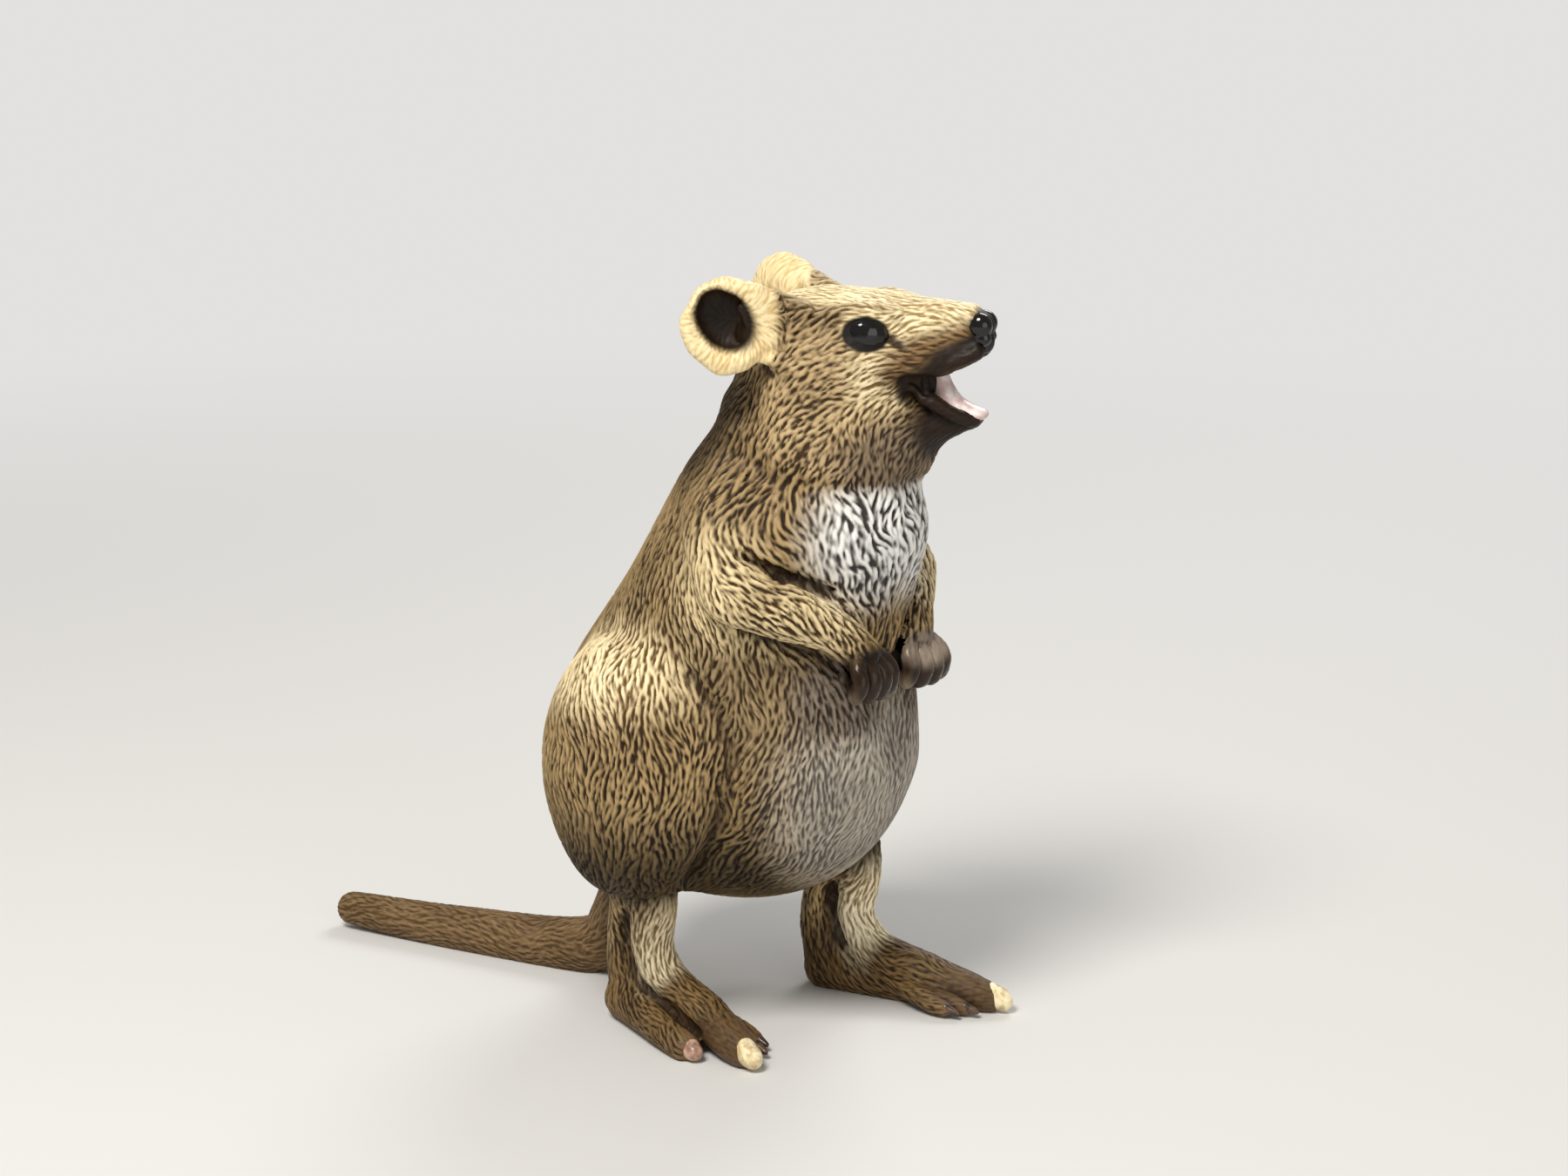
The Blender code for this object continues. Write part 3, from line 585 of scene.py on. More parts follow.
def onTrunk(side, x, y, z):
    # A point of the right side or, for side -1, of the left one, where the haunch is stepped forwards
    stepped = side < 0 and z < stance["leftAheadBelow"]
    return Vector((x * side, y - stance["leftAhead"] * stepped, z))


def pressFolds(skin):
    places, edges = placesOf(skin), edgesOf(skin)
    origins = {"floor": onTrunk, "eyes": onCheek, "heel": onFoot}
    for width, depth, origin, points in pressed.values():
        normals = normalsOf(skin)
        move = np.zeros(len(places))
        for side in (1, -1):
            near = nearLine(places, [tuple(origins[origin](side, *p)) for p in points])
            move = np.maximum(move, np.exp(-((near / width) ** 2) * pressFalloff))
        move[move < 0.01] = 0
        places = places + normals * (move * depth)[:, None]
        setPlaces(skin, places)
    setPlaces(skin, relax(places, edges, 2))


# Fur, as strokes cut in relief

gridSize = 64


def makeGrid(seed):
    return np.random.RandomState(seed).rand(gridSize, gridSize, gridSize).astype(np.float32)


def valueNoise(places, period, grid):
    # Smooth noise from 0 to 1 with lattice points one period apart
    scaled = places / period + 1000.5
    whole = np.floor(scaled).astype(np.int64)
    part = scaled - whole
    part = part * part * (3 - 2 * part)
    near, far, last = 1 - part, part, gridSize - 1
    total = np.zeros(len(places))
    for i in (0, 1):
        for j in (0, 1):
            for k in (0, 1):
                weight = (far if i else near)[:, 0] * (far if j else near)[:, 1] * (far if k else near)[:, 2]
                total += weight * grid[(whole[:, 0] + i) & last, (whole[:, 1] + j) & last, (whole[:, 2] + k) & last]
    return total


def strokes(places, along, period, length, grid, samples=9):
    # Noise smeared along the lie of the fur, scaled to a mean of 0 and a deviation of 1
    total = np.zeros(len(places))
    for step in range(samples):
        t = (step + 0.5) / samples * 2 - 1
        total += (1 - t * t) * valueNoise(places + along * (t * length / 2), period, grid)
    return (total - total.mean()) / total.std()


# The lie of the fur on the trunk and on the head: a place, and the way the hair runs there. Each has
# its mirror. How far such a place reaches is in lieReach.
lies = [
    ((0, -5.2, 34.5), (0, 0.4, -0.92)), ((0, -1.5, 29.5), (0, 0.5, -0.87)), ((0, 1.8, 25.0), (0, 0.3, -0.95)),
    ((0, 4.2, 19.0), (0, 0.1, -1)), ((0, 4.5, 13.0), (0, -0.2, -1)), ((0, 2.5, 8.5), (0, 0.5, -0.85)),
    ((-5.0, -8.0, 34.0), (0.0, 0.35, -0.93)), ((-6.2, -8.5, 31.0), (-0.1, 0.1, -1)),
    ((-5.3, -12.2, 33.0), (-0.1, 0.3, -0.95)), ((-7.6, -10.5, 29.0), (-0.1, -0.15, -1)),
    ((-8.6, -11.0, 26.6), (0.1, -0.55, -0.83)), ((-6.5, -13.2, 26.0), (0.62, -0.66, -0.42)),
    ((-4.6, -15.2, 25.2), (0.6, -0.6, -0.5)), ((-2.8, -16.8, 23.2), (0.2, -0.2, -0.95)),
    ((-5.6, -4.6, 27.0), (-0.1, 0.3, -0.95)), ((-7.4, -6.0, 24.6), (0, 0.25, -0.97)),
    ((-7.5, -11.5, 22.2), (0.1, 0.3, -0.95)), ((-8.0, -3.5, 22.2), (-0.1, -0.5, -0.85)),
    ((-9.6, -6.0, 20.0), (-0.1, -0.35, -0.92)), ((-9.6, -1.2, 19.5), (0, -0.1, -1)),
    ((-10.4, -4.5, 15.5), (0, -0.05, -1)), ((-8.6, -9.6, 16.5), (0.1, 0.15, -1)),
    ((-9.4, -6.0, 11.0), (0.1, 0.35, -0.93)), ((-7.4, -9.6, 12.0), (0.1, 0.5, -0.85)),
    ((-8.4, 1.2, 14.0), (0, -0.25, -0.95)), ((-7.2, -4.6, 8.4), (0.1, 0.2, -0.95)),
    ((-6.0, -13.6, 18.0), (0.1, 0.2, -0.97)), ((-2.5, -16.8, 17.0), (0, 0.1, -1)),
    ((-4.0, -15.0, 12.5), (0, 0.4, -0.9)), ((-2.0, -10.0, 7.2), (0, 1, -0.2)),
    ((-3.2, -16.2, 30.2), (0.3, -0.2, -0.9)), ((-1.2, -17.6, 28.0), (0.2, 0, -1)),
]
headLies = [
    ((-3.0, 0, 2.0), (-1, 0, 0.0)), ((0.5, 0, 1.9), (-1, 0, 0.05)), ((4.0, 0, 1.2), (-1, 0, 0.25)),
    ((4.5, -1.3, 0.2), (-1, -0.2, 0.1)), ((2.2, -2.0, 0.4), (-1, -0.3, 0.05)),
    ((-2.2, -3.2, 0.8), (-1, -0.2, -0.1)), ((-1.0, -3.6, -1.2), (-0.9, -0.2, -0.4)),
    ((1.4, -2.8, -1.8), (-0.8, -0.4, -0.5)), ((-3.0, -4.4, -2.2), (-0.75, 0, -0.65)),
    ((-0.6, -4.4, -3.8), (-0.5, -0.3, -0.8)), ((-4.0, -4.4, -5.0), (-0.45, 0, -0.9)),
    ((-1.4, -4.6, -6.4), (-0.3, 0, -0.95)), ((2.4, -2.4, -4.8), (-0.7, -0.3, -0.6)),
    ((4.6, -0.6, -5.2), (-0.9, 0, -0.4)), ((2.6, -0.8, -7.0), (-0.5, 0, -0.87)),
    ((-6.4, -3.0, -4.5), (-0.2, 0, -0.98)), ((-5.6, 0, 1.0), (-1, 0, -0.2)),
    ((-8.6, 0, -2.5), (-0.3, 0, -0.95)),
]
footLies = [  # ahead and up from the heel, and the way ahead and up
    (1.0, 5.5, (0, -1)), (3.2, 5.5, (0.1, -1)), (1.5, 2.0, (0.5, -0.8)), (4.6, 2.9, (0.8, -0.5)),
    (7.5, 2.0, (1, -0.25)), (10.5, 1.2, (1, -0.2)), (4.0, 0.8, (1, -0.1)),
]
tailLies = [(4, 2.2), (8, 1.5), (12, 1.3), (16, 1.2), (20, 1.2)]  # back from the root, and height
lieReach = {"trunk": 2.6, "head": 1.6, "foot": 1.6, "ear": 0.9, "tail": 1.8}


def allLies():
    made = []
    turn = headTurn.to_3x3()
    for (x, y, z), (wayX, wayY, wayZ) in lies:
        for side in (1, -1):
            made.append((Vector((x * side, y, z)), Vector((wayX * side, wayY, wayZ)), lieReach["trunk"]))
    for (ahead, out, up), (wayAhead, wayOut, wayUp) in headLies:
        for side in (1, -1):
            way = turn @ Vector((wayOut * side, -wayAhead, wayUp))
            made.append((onHead(ahead, out * side, up), way, lieReach["head"]))
    for side in (-1, 1):
        run = (onFoot(side, 10, 0, 0) - onFoot(side, 0, 0, 0)).normalized()
        for ahead, up, way in footLies:
            made.append((onFoot(side, ahead, 0, up), run * way[0] + Vector((0, 0, way[1])), lieReach["foot"]))
        # out from the middle of each ear, across its rim
        for step in range(8):
            angle = step / 8 * 2 * math.pi
            spot = earFrame(side) @ Vector((0.4 * side, 2.3 * math.cos(angle), 2.3 * math.sin(angle)))
            way = earFrame(side).to_3x3() @ Vector((0.3 * side, math.cos(angle), math.sin(angle)))
            made.append((spot, way, lieReach["ear"]))
    tail = [(1.5, 5.0, Vector((0, 0.5, -0.9))), *[(back, up, tailBack) for back, up in tailLies]]
    return made + [(onTail(back, up), way, lieReach["tail"]) for back, up, way in tail]


furLook = {
    "seeds": (7, 11, 23),
    "relief": 0.15,  # full depth of the strokes, in millimetres
    "ridge": (-1.4, 0.9), "surface": 0.55,  # what is groove and ridge, and the share above the skin
    "kinds": {  # width and length of a stroke, the reach that its mean is taken off over, and samples
        "long": (0.13, 0.85, 0.17, 9), "mane": (0.17, 0.95, 0.24, 9), "tuft": (0.14, 0.5, 0.18, 5),
        "curl": (0.19, 0.75, 0.26, 7), "fine": (0.11, 0.65, 0.14, 7),
    },
    "ragged": {"long": 0.5, "mane": 0.45, "tuft": 0.4},  # share of a shorter kind in a longer one
    "locks": (1.1, 3.4, 5),  # width, length and samples of the locks that differ in tone
    "waves": [(1.9, 1.1), (0.8, 0.5)],  # length of a wave in the lie, and its swing
    "curls": (1.3, 2.4),  # the same on the chest
    "levelReach": 0.4, "levelLeast": 0.3,  # where the strokes are shallow all around, they are deepened
    "foldReach": 0.6, "strokeReach": 0.3, "leastRounds": 3,
    "paint": {  # how the strokes, and where there are none how far the skin stands out, lighten the paint
        "middle": 0.54, "stroke": 0.3, "furless": 0.8, "proud": 1.0, "proudFurless": 3.5,
        "tone": 0.2, "foldDepth": 0.3,
    },
    "fading": (1.3, 0.6, 0.8),  # length, least and range of the strength of the paint along the strokes
    "smoother": {  # the share of the relief that an area goes without
        "muzzle": 0.55, "cheek": 0.15, "shins": 0.55, "tail": 0.62, "ear": 0.8,
        "bare": 0.75, "hands": 0.85, "toes": 0.85, "lips": 0.8, "eyeRim": 1.0,
    },
}


def lieOfFur(places, normals, grid):
    total = np.zeros_like(places)
    for spot, way, reach in allLies():
        away = ((places - np.array(spot)) ** 2).sum(1)
        share = np.exp(-away / (2 * reach * reach)) + 1e-6 / (1 + away)
        total += share[:, None] * np.array(way.normalized())
    total -= normals * (total * normals).sum(1)[:, None]
    total /= np.linalg.norm(total, axis=1)[:, None] + 1e-9
    # wavy locks: the way turns to and fro about the normal
    wave = sum((valueNoise(places, length, grid) - 0.5) * swing for length, swing in furLook["waves"])
    return total * np.cos(wave)[:, None] + np.cross(normals, total) * np.sin(wave)[:, None]


# Areas of the skin, as soft ellipsoids: what they are measured from, centre, radii and softness.
# "sides" and "cheeks" have a mirror; "cheeks" and "face" are ahead, out and up from between the eyes.

areas = {
    "mane": ("sides", (-5.4, -11.0, 30.2), (4.6, 6.0, 4.2), 0.4),
    "chest": ("sides", (-1.8, -17.0, 29.3), (3.9, 3.4, 3.5), 0.45),
    "haunch": ("sides", (-9.6, -4.4, 17.0), (3.6, 6.2, 5.6), 0.4),
    # the top of the haunch, painted paler: partly dry-brushed and partly painted highlight
    "haunchTopBrushedAndLit": ("sides", (-8.6, -3.4, 21.4), (3.6, 5.2, 2.6), 0.5),
    "flank": ("sides", (-6.6, -12.6, 20.5), (3.4, 2.9, 4.6), 0.35),
    # the belly under the hands, which the paint darkens as painted shade
    "shadeUnderHands": ("sides", (-3.4, -16.0, 20.6), (3.4, 2.6, 2.3), 0.4),
    "upperArm": ("sides", (-7.6, -10.8, 26.8), (3.0, 3.0, 3.2), 0.4),
    "forearm": ("sides", (-5.4, -14.6, 25.2), (3.4, 3.6, 2.2), 0.3),
    "throat": ("middle", (0.2, -17.6, 33.6), (4.6, 3.4, 2.2), 0.4),
    "belly": ("middle", (0, -15.5, 14.6), (6.4, 5.6, 6.6), 0.3),
    "bare": ("middle", (0, -16.0, 14.5), (4.8, 4.6, 5.2), 0.35),
    "nape": ("middle", (0, -6.2, 34.4), (6.2, 4.6, 4.6), 0.4),
    "muzzle": ("face", (3.4, 0, 0.6), (4.6, 3.2, 2.4), 0.35),
    "crown": ("face", (-1.5, 0, 2.2), (6.0, 3.6, 1.6), 0.35),
    "chin": ("face", (3.9, 0, -5.5), (2.9, 2.5, 1.9), 0.35),
    "mouth": ("face", (3.6, 0, -3.0), (2.6, 1.9, 1.5), 0.2),
    "nose": ("face", (6.0, 0, 0.1), (1.1, 1.4, 1.1), 0.25),
    "underNose": ("face", (5.9, 0, -0.6), (0.9, 1.3, 1.3), 0.2),
    "gullet": ("face", (4.0, 0, -3.2), (1.4, 1.0, 0.9), 0.2),
    "frontCheek": ("cheeks", (1.3, -3.0, -2.3), (2.2, 1.8, 1.9), 0.5),
    "cheek": ("cheeks", (-1.2, -4.2, -4.2), (4.2, 2.8, 4.4), 0.35),
    "eye": ("cheeks", (-0.1, -2.75, -0.25), (1.34, 1.2, 1.1), 0.08),
}

# The same as soft bands along a line on both sides of the face: full within near, nothing beyond far
bands = {
    "lids": (0.3, 0.6, [
        (-1.4, -3.0, -0.3), (-0.8, -3.1, -1.2), (0.2, -3.0, -1.4), (1.0, -2.6, -1.05), (1.5, -2.25, -0.3),
        (0.95, -2.5, 0.55), (0.1, -2.8, 0.9), (-0.85, -3.0, 0.65), (-1.4, -3.0, -0.3),
    ]),
    "upperLip": (0.5, 1.15, [(2.2, -2.0, -2.6), (4.0, -1.5, -1.7), (5.6, -0.9, -1.0)]),
    "lowerLip": (0.5, 1.1, [(2.3, -1.9, -3.4), (3.6, -1.5, -4.3), (5.2, -0.6, -5.0)]),
    "muzzleSide": (0.5, 1.7, [(1.6, -2.5, -2.0), (3.4, -1.9, -1.2), (5.2, -1.2, -0.6)]),
    "mouthCorner": (0.2, 0.6, [(2.9, -1.9, -3.05), (3.6, -1.4, -3.2)]),
    "eyeCorner": (0.12, 0.4, [(1.1, -2.4, -0.4), (1.7, -2.2, -0.9)]),
}


def areaMasks(places, normals):
    # Where each kind of fur and paint lies, from 0 to 1
    head, height, none = toHead(places), places[:, 2], np.zeros(len(places))
    spots = {
        "middle": [places], "sides": [places, places * np.array([-1, 1, 1])],
        "face": [head], "cheeks": [head, head * np.array([1, -1, 1])],
    }

    def area(name):
        origin, centre, radii, soft = areas[name]
        return np.maximum.reduce([inBlob(given, centre, radii, soft) for given in spots[origin]])

    def band(name):
        near, far, line = bands[name]
        return np.maximum.reduce([1 - smoothstep(nearLine(given, line), near, far) for given in spots["cheeks"]])

    def onLimb(spot, radii, soft):
        return inBlob(places, tuple(spot), radii, soft)

    plain = ("mane", "belly", "bare", "haunch", "haunchTopBrushedAndLit", "flank", "nape", "shadeUnderHands")
    masks = {name: area(name) for name in plain}
    masks["chest"] = area("chest") * (1 - smoothstep(height, 32.0, 32.6))
    masks["throat"] = area("throat") * smoothstep(height, 31.2, 32.6)
    masks["arm"] = np.maximum(area("upperArm"), area("forearm"))
    # low on the trunk, which the paint darkens towards the floor: partly the fur's paint and partly painted shade
    masks["low"] = (1 - smoothstep(height, 9.5, 16.0)) * (1 - masks["belly"])
    masks["tail"] = smoothstep(places[:, 1], 0.8, 2.4) * (1 - smoothstep(height, 6.2, 8.0))

    isHead = smoothstep(height, 32.0, 33.6) * smoothstep(-places[:, 1], 4.0, 7.0)
    frontCheek = area("frontCheek") * isHead
    top = np.maximum(area("muzzle"), area("crown")) * isHead
    lips = [area("chin"), area("mouth"), area("nose"), band("upperLip"), band("lowerLip")]
    masks["muzzle"] = np.maximum.reduce([top, band("lids"), 0.95 * frontCheek])
    masks["frontCheek"] = 0.85 * frontCheek
    masks["cheek"] = area("cheek") * isHead
    masks["muzzleSide"] = band("muzzleSide") * isHead
    masks["lips"] = np.maximum.reduce(lips) * isHead
    masks["eyeRim"] = np.maximum.reduce([
        area("eye"), area("underNose") * isHead, band("mouthCorner"), area("gullet") * isHead,
        0.85 * band("eyeCorner"),
    ])

    masks["ear"], masks["hollow"], masks["shinHollowShade"] = none, none, none
    for side in (-1, 1):
        inverse = np.array(earFrame(side).inverted())
        local = places @ inverse[:3, :3].T + inverse[:3, 3]
        out, facing = local[:, 0] * side, (normals @ inverse[:3, :3].T)[:, 0] * side
        reach = np.hypot(local[:, 1], local[:, 2])
        cup = (1 - smoothstep(reach, 2.75, 3.1)) * smoothstep(out, -1.6, -0.9)
        masks["ear"] = np.maximum(masks["ear"], cup * (1 - smoothstep(head[:, 0], -4.9, -4.2)))
        # the ear's hollow, which the paint makes near-black: partly its dark paint and partly painted shade
        reach = np.hypot(*hollowOval(local[:, 2], local[:, 1]))
        further = 0.45 * smoothstep(-local[:, 1], 0.2, 1.6)
        inside = (1 - smoothstep(reach, 1.65, 2.05 + further)) * smoothstep(out, -1.0, -0.8)
        inside = inside * smoothstep(facing, -0.45, -0.1) * (1 - smoothstep(head[:, 0], -4.9, -4.4))
        masks["hollow"] = np.maximum(masks["hollow"], inside)
        # the hollow between shin and heel, on the inner and on the outer side, which the paint makes near-black as
        # painted shade
        for out, share in ((-1.0, 1.0), (0.95, 0.7)):
            line = [tuple(onFoot(side, ahead, out, up)) for ahead, up in ((2.1, 6.0), (2.0, 4.5), (2.5, 3.2))]
            between = share * (1 - smoothstep(nearLine(places, line), 0.3, 0.75))
            masks["shinHollowShade"] = np.maximum(masks["shinHollowShade"], between)

    masks["shins"] = (1 - smoothstep(height, 6.6, 8.2)) * (1 - smoothstep(places[:, 1], 0.4, 1.0))
    # the fronts of the shins, full on the left and half on the right, painted paler as painted highlight
    masks["shinFrontHighlight"] = np.maximum(
        onLimb(onFoot(1, 4.0, -0.3, 4.8), (1.7, 1.8, 3.2), 0.35),
        0.5 * onLimb(onFoot(-1, 4.1, 0, 4.6), (1.5, 1.5, 3.0), 0.4),
    )
    limbs = {"hands": [], "toes": [], "feet": []}
    for side in (-1, 1):
        limbs["hands"].append(onLimb(palm(side) + Vector((0, -0.9, -0.8)), (2.3, 1.9, 1.7), 0.2))
        limbs["toes"].append(onLimb(onFoot(side, 10.4, 0, 0.8), (2.9, 2.9, 1.7), 0.35))
        limbs["feet"].append(onLimb(onFoot(side, 5.0, 0, 1.4), (4.2, 8.2, 3.4), 0.3))
    masks.update({name: np.maximum(*both) for name, both in limbs.items()})
    # the left hand, painted paler than the right as painted light
    masks["litFarHand"] = onLimb(palm(1) + Vector((0, -0.7, 0)), (1.9, 1.6, 1.1), 0.35) * masks["hands"]
    return masks


def cutFur(skin, grain, look):
    places, edges = placesOf(skin), edgesOf(skin)
    smooth = relax(normalsOf(skin), edges, 6)
    smooth /= np.linalg.norm(smooth, axis=1)[:, None] + 1e-9
    grid, other, third = [makeGrid(seed) for seed in look["seeds"]]
    along = lieOfFur(places, smooth, other)
    masks = areaMasks(places, smooth)
    # the chest has curls: its lie turns right round from place to place
    length, swing = look["curls"]
    curl = (valueNoise(places, length, third) - 0.5) * swing * masks["chest"]
    along = along * np.cos(curl)[:, None] + np.cross(smooth, along) * np.sin(curl)[:, None]

    def roundsFor(reach, times):
        # smoothing over the same reach takes more rounds on a finer skin
        return (reach / grain) ** 2 * times

    def hair(kind, noise):
        # the mean of the skin around is taken off, so that ridges and grooves lie as close as in real fur
        width, length, reach, samples = look["kinds"][kind]
        made = strokes(places, along, width, length, noise, samples)
        made -= relax(made[:, None], edges, max(look["leastRounds"], round(roundsFor(reach, 4))))[:, 0]
        return made / made.std()

    longFur, maneFur, tuftFur = hair("long", grid), hair("mane", third), hair("tuft", other)
    fineFur, curlFur = hair("fine", third), hair("curl", grid)
    width, length, samples = look["locks"]
    locks = strokes(places, along, width, length, other, samples)
    short = np.maximum(masks["cheek"], masks["chest"])
    mane = np.clip(masks["mane"] - short, 0, 1)
    fine = np.maximum.reduce([masks["muzzle"], masks["ear"], masks["tail"], masks["shins"], masks["belly"] * 0.6])
    longFur = longFur + tuftFur * look["ragged"]["long"]
    maneFur = maneFur + tuftFur * look["ragged"]["mane"]
    shortFur = np.where(masks["chest"] > masks["cheek"], curlFur, tuftFur + fineFur * look["ragged"]["tuft"])
    coat = longFur * np.clip(1 - short - mane, 0, 1) + shortFur * short + maneFur * mane
    mixed = coat * (1 - fine) + fineFur * fine
    # strokes of unlike depth, but no bare and no crowded places
    level = relax((mixed**2)[:, None], edges, int(roundsFor(look["levelReach"], 4)))[:, 0]
    mixed /= np.sqrt(level) + look["levelLeast"]
    relief = np.full(len(places), look["relief"])
    for name, share in look["smoother"].items():
        relief *= 1 - share * masks[name]
    height = smoothstep(mixed, *look["ridge"]) - look["surface"]
    places = places + smooth * (relief * height)[:, None]
    places[:, 2] = np.maximum(places[:, 2], 0.0)
    setPlaces(skin, places)
    # how far each place stands out from the skin around it, at the scale of a stroke and of a fold
    near = relax(places, edges, int(roundsFor(look["strokeReach"], 2)))
    wide = relax(near, edges, int(roundsFor(look["foldReach"], 2)))
    proud, fold = ((places - near) * smooth).sum(1), ((near - wide) * smooth).sum(1)
    furless = [masks[name] for name in ("hands", "toes", "lips", "hollow")]
    furless = np.maximum.reduce([*furless, 0.5 * masks["ear"]])
    length, least, span = look["fading"]
    fading = least + span * valueNoise(places, length, grid)
    p = look["paint"]
    stroke = mixed * p["stroke"] * fading * (1 - p["furless"] * furless)
    stroke += proud * (p["proud"] + p["proudFurless"] * furless)
    masks["stroke"] = np.clip(p["middle"] + stroke, 0, 1)
    masks["tone"] = np.clip(0.5 + locks * p["tone"], 0, 1)
    # how far each place sinks in at the scale of a fold, which the paint darkens as painted shade over the dark wash
    masks["fold"] = np.clip(0.5 + fold / p["foldDepth"], 0, 1)
    return masks


# The paint: for each area its colour on the ridges and in the grooves

paint = [
    ("coat", "#9A8159", "#261605"),
    # the nape, darker than the shoulders: painted shade
    ("nape", "#443520", "#130901"),
    # the side of the haunch, darker than its top: partly the fur's paint and partly painted shade
    ("haunch", "#A1875D", "#281705"),
    # the top of the haunch, paler: partly dry-brushed paint and partly painted highlight
    ("haunchTopBrushedAndLit", "#F3DEB0", "#634820"),
    # low on the trunk, darker towards the floor: partly the fur's paint and partly painted shade
    ("low", "#483920", "#100801"),
    # the flank under the arm, darker: partly its paint and partly painted shade
    ("flank", "#8E7957", "#33210C"),
    # the arms, paler than the coat: partly their fur's paint and partly painted light
    ("arm", "#DFC899", "#402B0F"),
    ("muzzle", "#FCEBBF", "#97794A"),
    ("cheek", "#B89E74", "#38260F"),
    ("frontCheek", "#F8E6BA", "#80633A"),
    ("belly", "#A79E90", "#565049"),
    # the belly under the hands, darker: painted shade
    ("shadeUnderHands", "#75685A", "#2A2016"),
    ("chest", "#E6E4DF", "#37322E"),
    ("throat", "#7A6852", "#33261A"),
    ("shins", "#B2976A", "#33220B"),
    ("feet", "#755D39", "#291806"),
    # the fronts of the shins, paler: painted highlight, full on the left and half on the right
    ("shinFrontHighlight", "#FFF3D2", "#8D754C"),
    ("tail", "#7B6243", "#4A361C"),
    ("ear", "#F5E2B3", "#CFAE74"),
    # the hollow of the ear, near black: partly dark paint and partly painted shade
    ("hollow", "#23160A", "#0A0603"),
    ("hands", "#281C12", "#040201"),
    # the far hand, paler than the near one: painted light
    ("litFarHand", "#857668", "#150E08"),
    ("toes", "#6E5539", "#2A1B0E"),
    # the hollow between shin and heel, near black: painted shade
    ("shinHollowShade", "#2A1B0D", "#0A0502"),
    ("muzzleSide", "#8A6C44", "#382412"),
    ("lips", "#26160A", "#080402"),
    ("eyeRim", "#140D07", "#070402"),
]

paintLook = {
    "blotches": (380.0, 3.0, 0.4), "specks": (2600.0, 2.0, 0.3),  # scale, detail and share
    "toneShare": 0.3, "sum": 0.5,  # the shares together, taken off again
    "ridge": (0.16, 0.86), "tip": (0.72, 1.15), "tipShare": 0.42,
    # the folds are darkened towards this colour: dark wash and painted shade together
    "foldWashAndShade": "#2A1A0A", "foldShadeTo": 0.44, "foldShadeMost": 0.85,  # in the folds
    "grooveRoughness": 0.62, "ridgeRoughness": 0.46, "handRoughness": -0.26,
}


def paintedVinyl(p):
    # PVC under two coats of acrylic: dark wash left in the grooves and tan dry-brushed on the ridges; painted shade in
    # the folds and, in some areas, painted light and shade in the colours
    made, tree = newMaterial("painted_pvc_fur")
    coord = addNode(tree, "TexCoord").outputs["Object"]

    def read(name):
        return addNode(tree, "Attribute", {"attribute_name": name}).outputs["Fac"]

    def noise(scale, detail, share):
        node = addNode(tree, "TexNoise", Vector=coord, Scale=scale, Detail=detail, Roughness=0.6)
        return node.outputs["Fac"], share

    blotches, specks = noise(*p["blotches"]), noise(*p["specks"])
    (_, onRidge, inGroove), *others = paint
    ridge, groove = linear(onRidge), linear(inGroove)
    for name, onRidge, inGroove in others:
        share = read(name)
        ridge = mixOf(tree, share, ridge, linear(onRidge))
        groove = mixOf(tree, share, groove, linear(inGroove))
    brushed = maths(tree, "SUBTRACT", read("stroke"), p["sum"])
    for value, share in (read("tone"), p["toneShare"]), specks, blotches:
        brushed = maths(tree, "MULTIPLY_ADD", value, share, brushed)
    amount = ramp(tree, brushed, *p["ridge"])
    colour = mixOf(tree, amount, groove, ridge)
    colour = mixOf(tree, ramp(tree, brushed, *p["tip"], 0.0, p["tipShare"]), colour, ridge, "SCREEN")
    # the folds darkened: painted shade over the dark wash that collects there
    foldShading = ramp(tree, read("fold"), 0.0, p["foldShadeTo"], p["foldShadeMost"], 0.0)
    colour = mixOf(tree, foldShading, colour, linear(p["foldWashAndShade"]))
    rough = addNode(tree, "MapRange", Value=amount, _3=p["grooveRoughness"], _4=p["ridgeRoughness"]).outputs[0]
    rough = maths(tree, "MULTIPLY_ADD", read("hands"), p["handRoughness"], rough)
    bump = addNode(tree, "Bump", Strength=0.25, Distance=0.00003, Height=specks[0]).outputs[0]
    shader = addNode(
        tree, "BsdfPrincipled", Base_Color=colour, Roughness=rough, Normal=bump, IOR=1.5, Specular_IOR_Level=0.22,
    )
    addNode(tree, "OutputMaterial", Surface=shader.outputs[0])
    return made


def glossPaint(name, colour, dark, roughness, size):
    # Gloss varnish over a painted spot: a smooth coat with faint brush unevenness
    made, tree = newMaterial(name)
    coord = addNode(tree, "TexCoord").outputs["Object"]
    noise = addNode(tree, "TexNoise", Vector=coord, Scale=size, Detail=3.0).outputs["Fac"]
    uneven = mixOf(tree, ramp(tree, noise, 0.35, 0.62), linear(dark), linear(colour))
    bump = addNode(tree, "Bump", Strength=0.15, Distance=0.00004, Height=noise).outputs[0]
    shader = addNode(
        tree, "BsdfPrincipled", Base_Color=uneven, Roughness=roughness, Normal=bump,
        IOR=1.42, Coat_Weight=0.25, Coat_Roughness=0.06,
    )
    addNode(tree, "OutputMaterial", Surface=shader.outputs[0])
    return made


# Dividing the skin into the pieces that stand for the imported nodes

capDepth = 0.3  # how far inside the skin the caps come to a point
borderRounds = 12
bodyLayers = ["lower_body_fur", "haunch_body_fur", "middle_body_fur", "upper_body_fur"]


def nearestNode(places):
    verts, faces, owner = [], [], []
    for index, name in enumerate(sorted(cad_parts)):
        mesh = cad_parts[name].data
        base = len(verts)
        verts.extend(v.co * 1000 for v in mesh.vertices)
        for p in mesh.polygons:
            faces.append([base + i for i in p.vertices])
            owner.append(index)
    tree = BVHTree.FromPolygons(verts, faces)
    return np.array([owner[tree.find_nearest(p)[2]] for p in places])


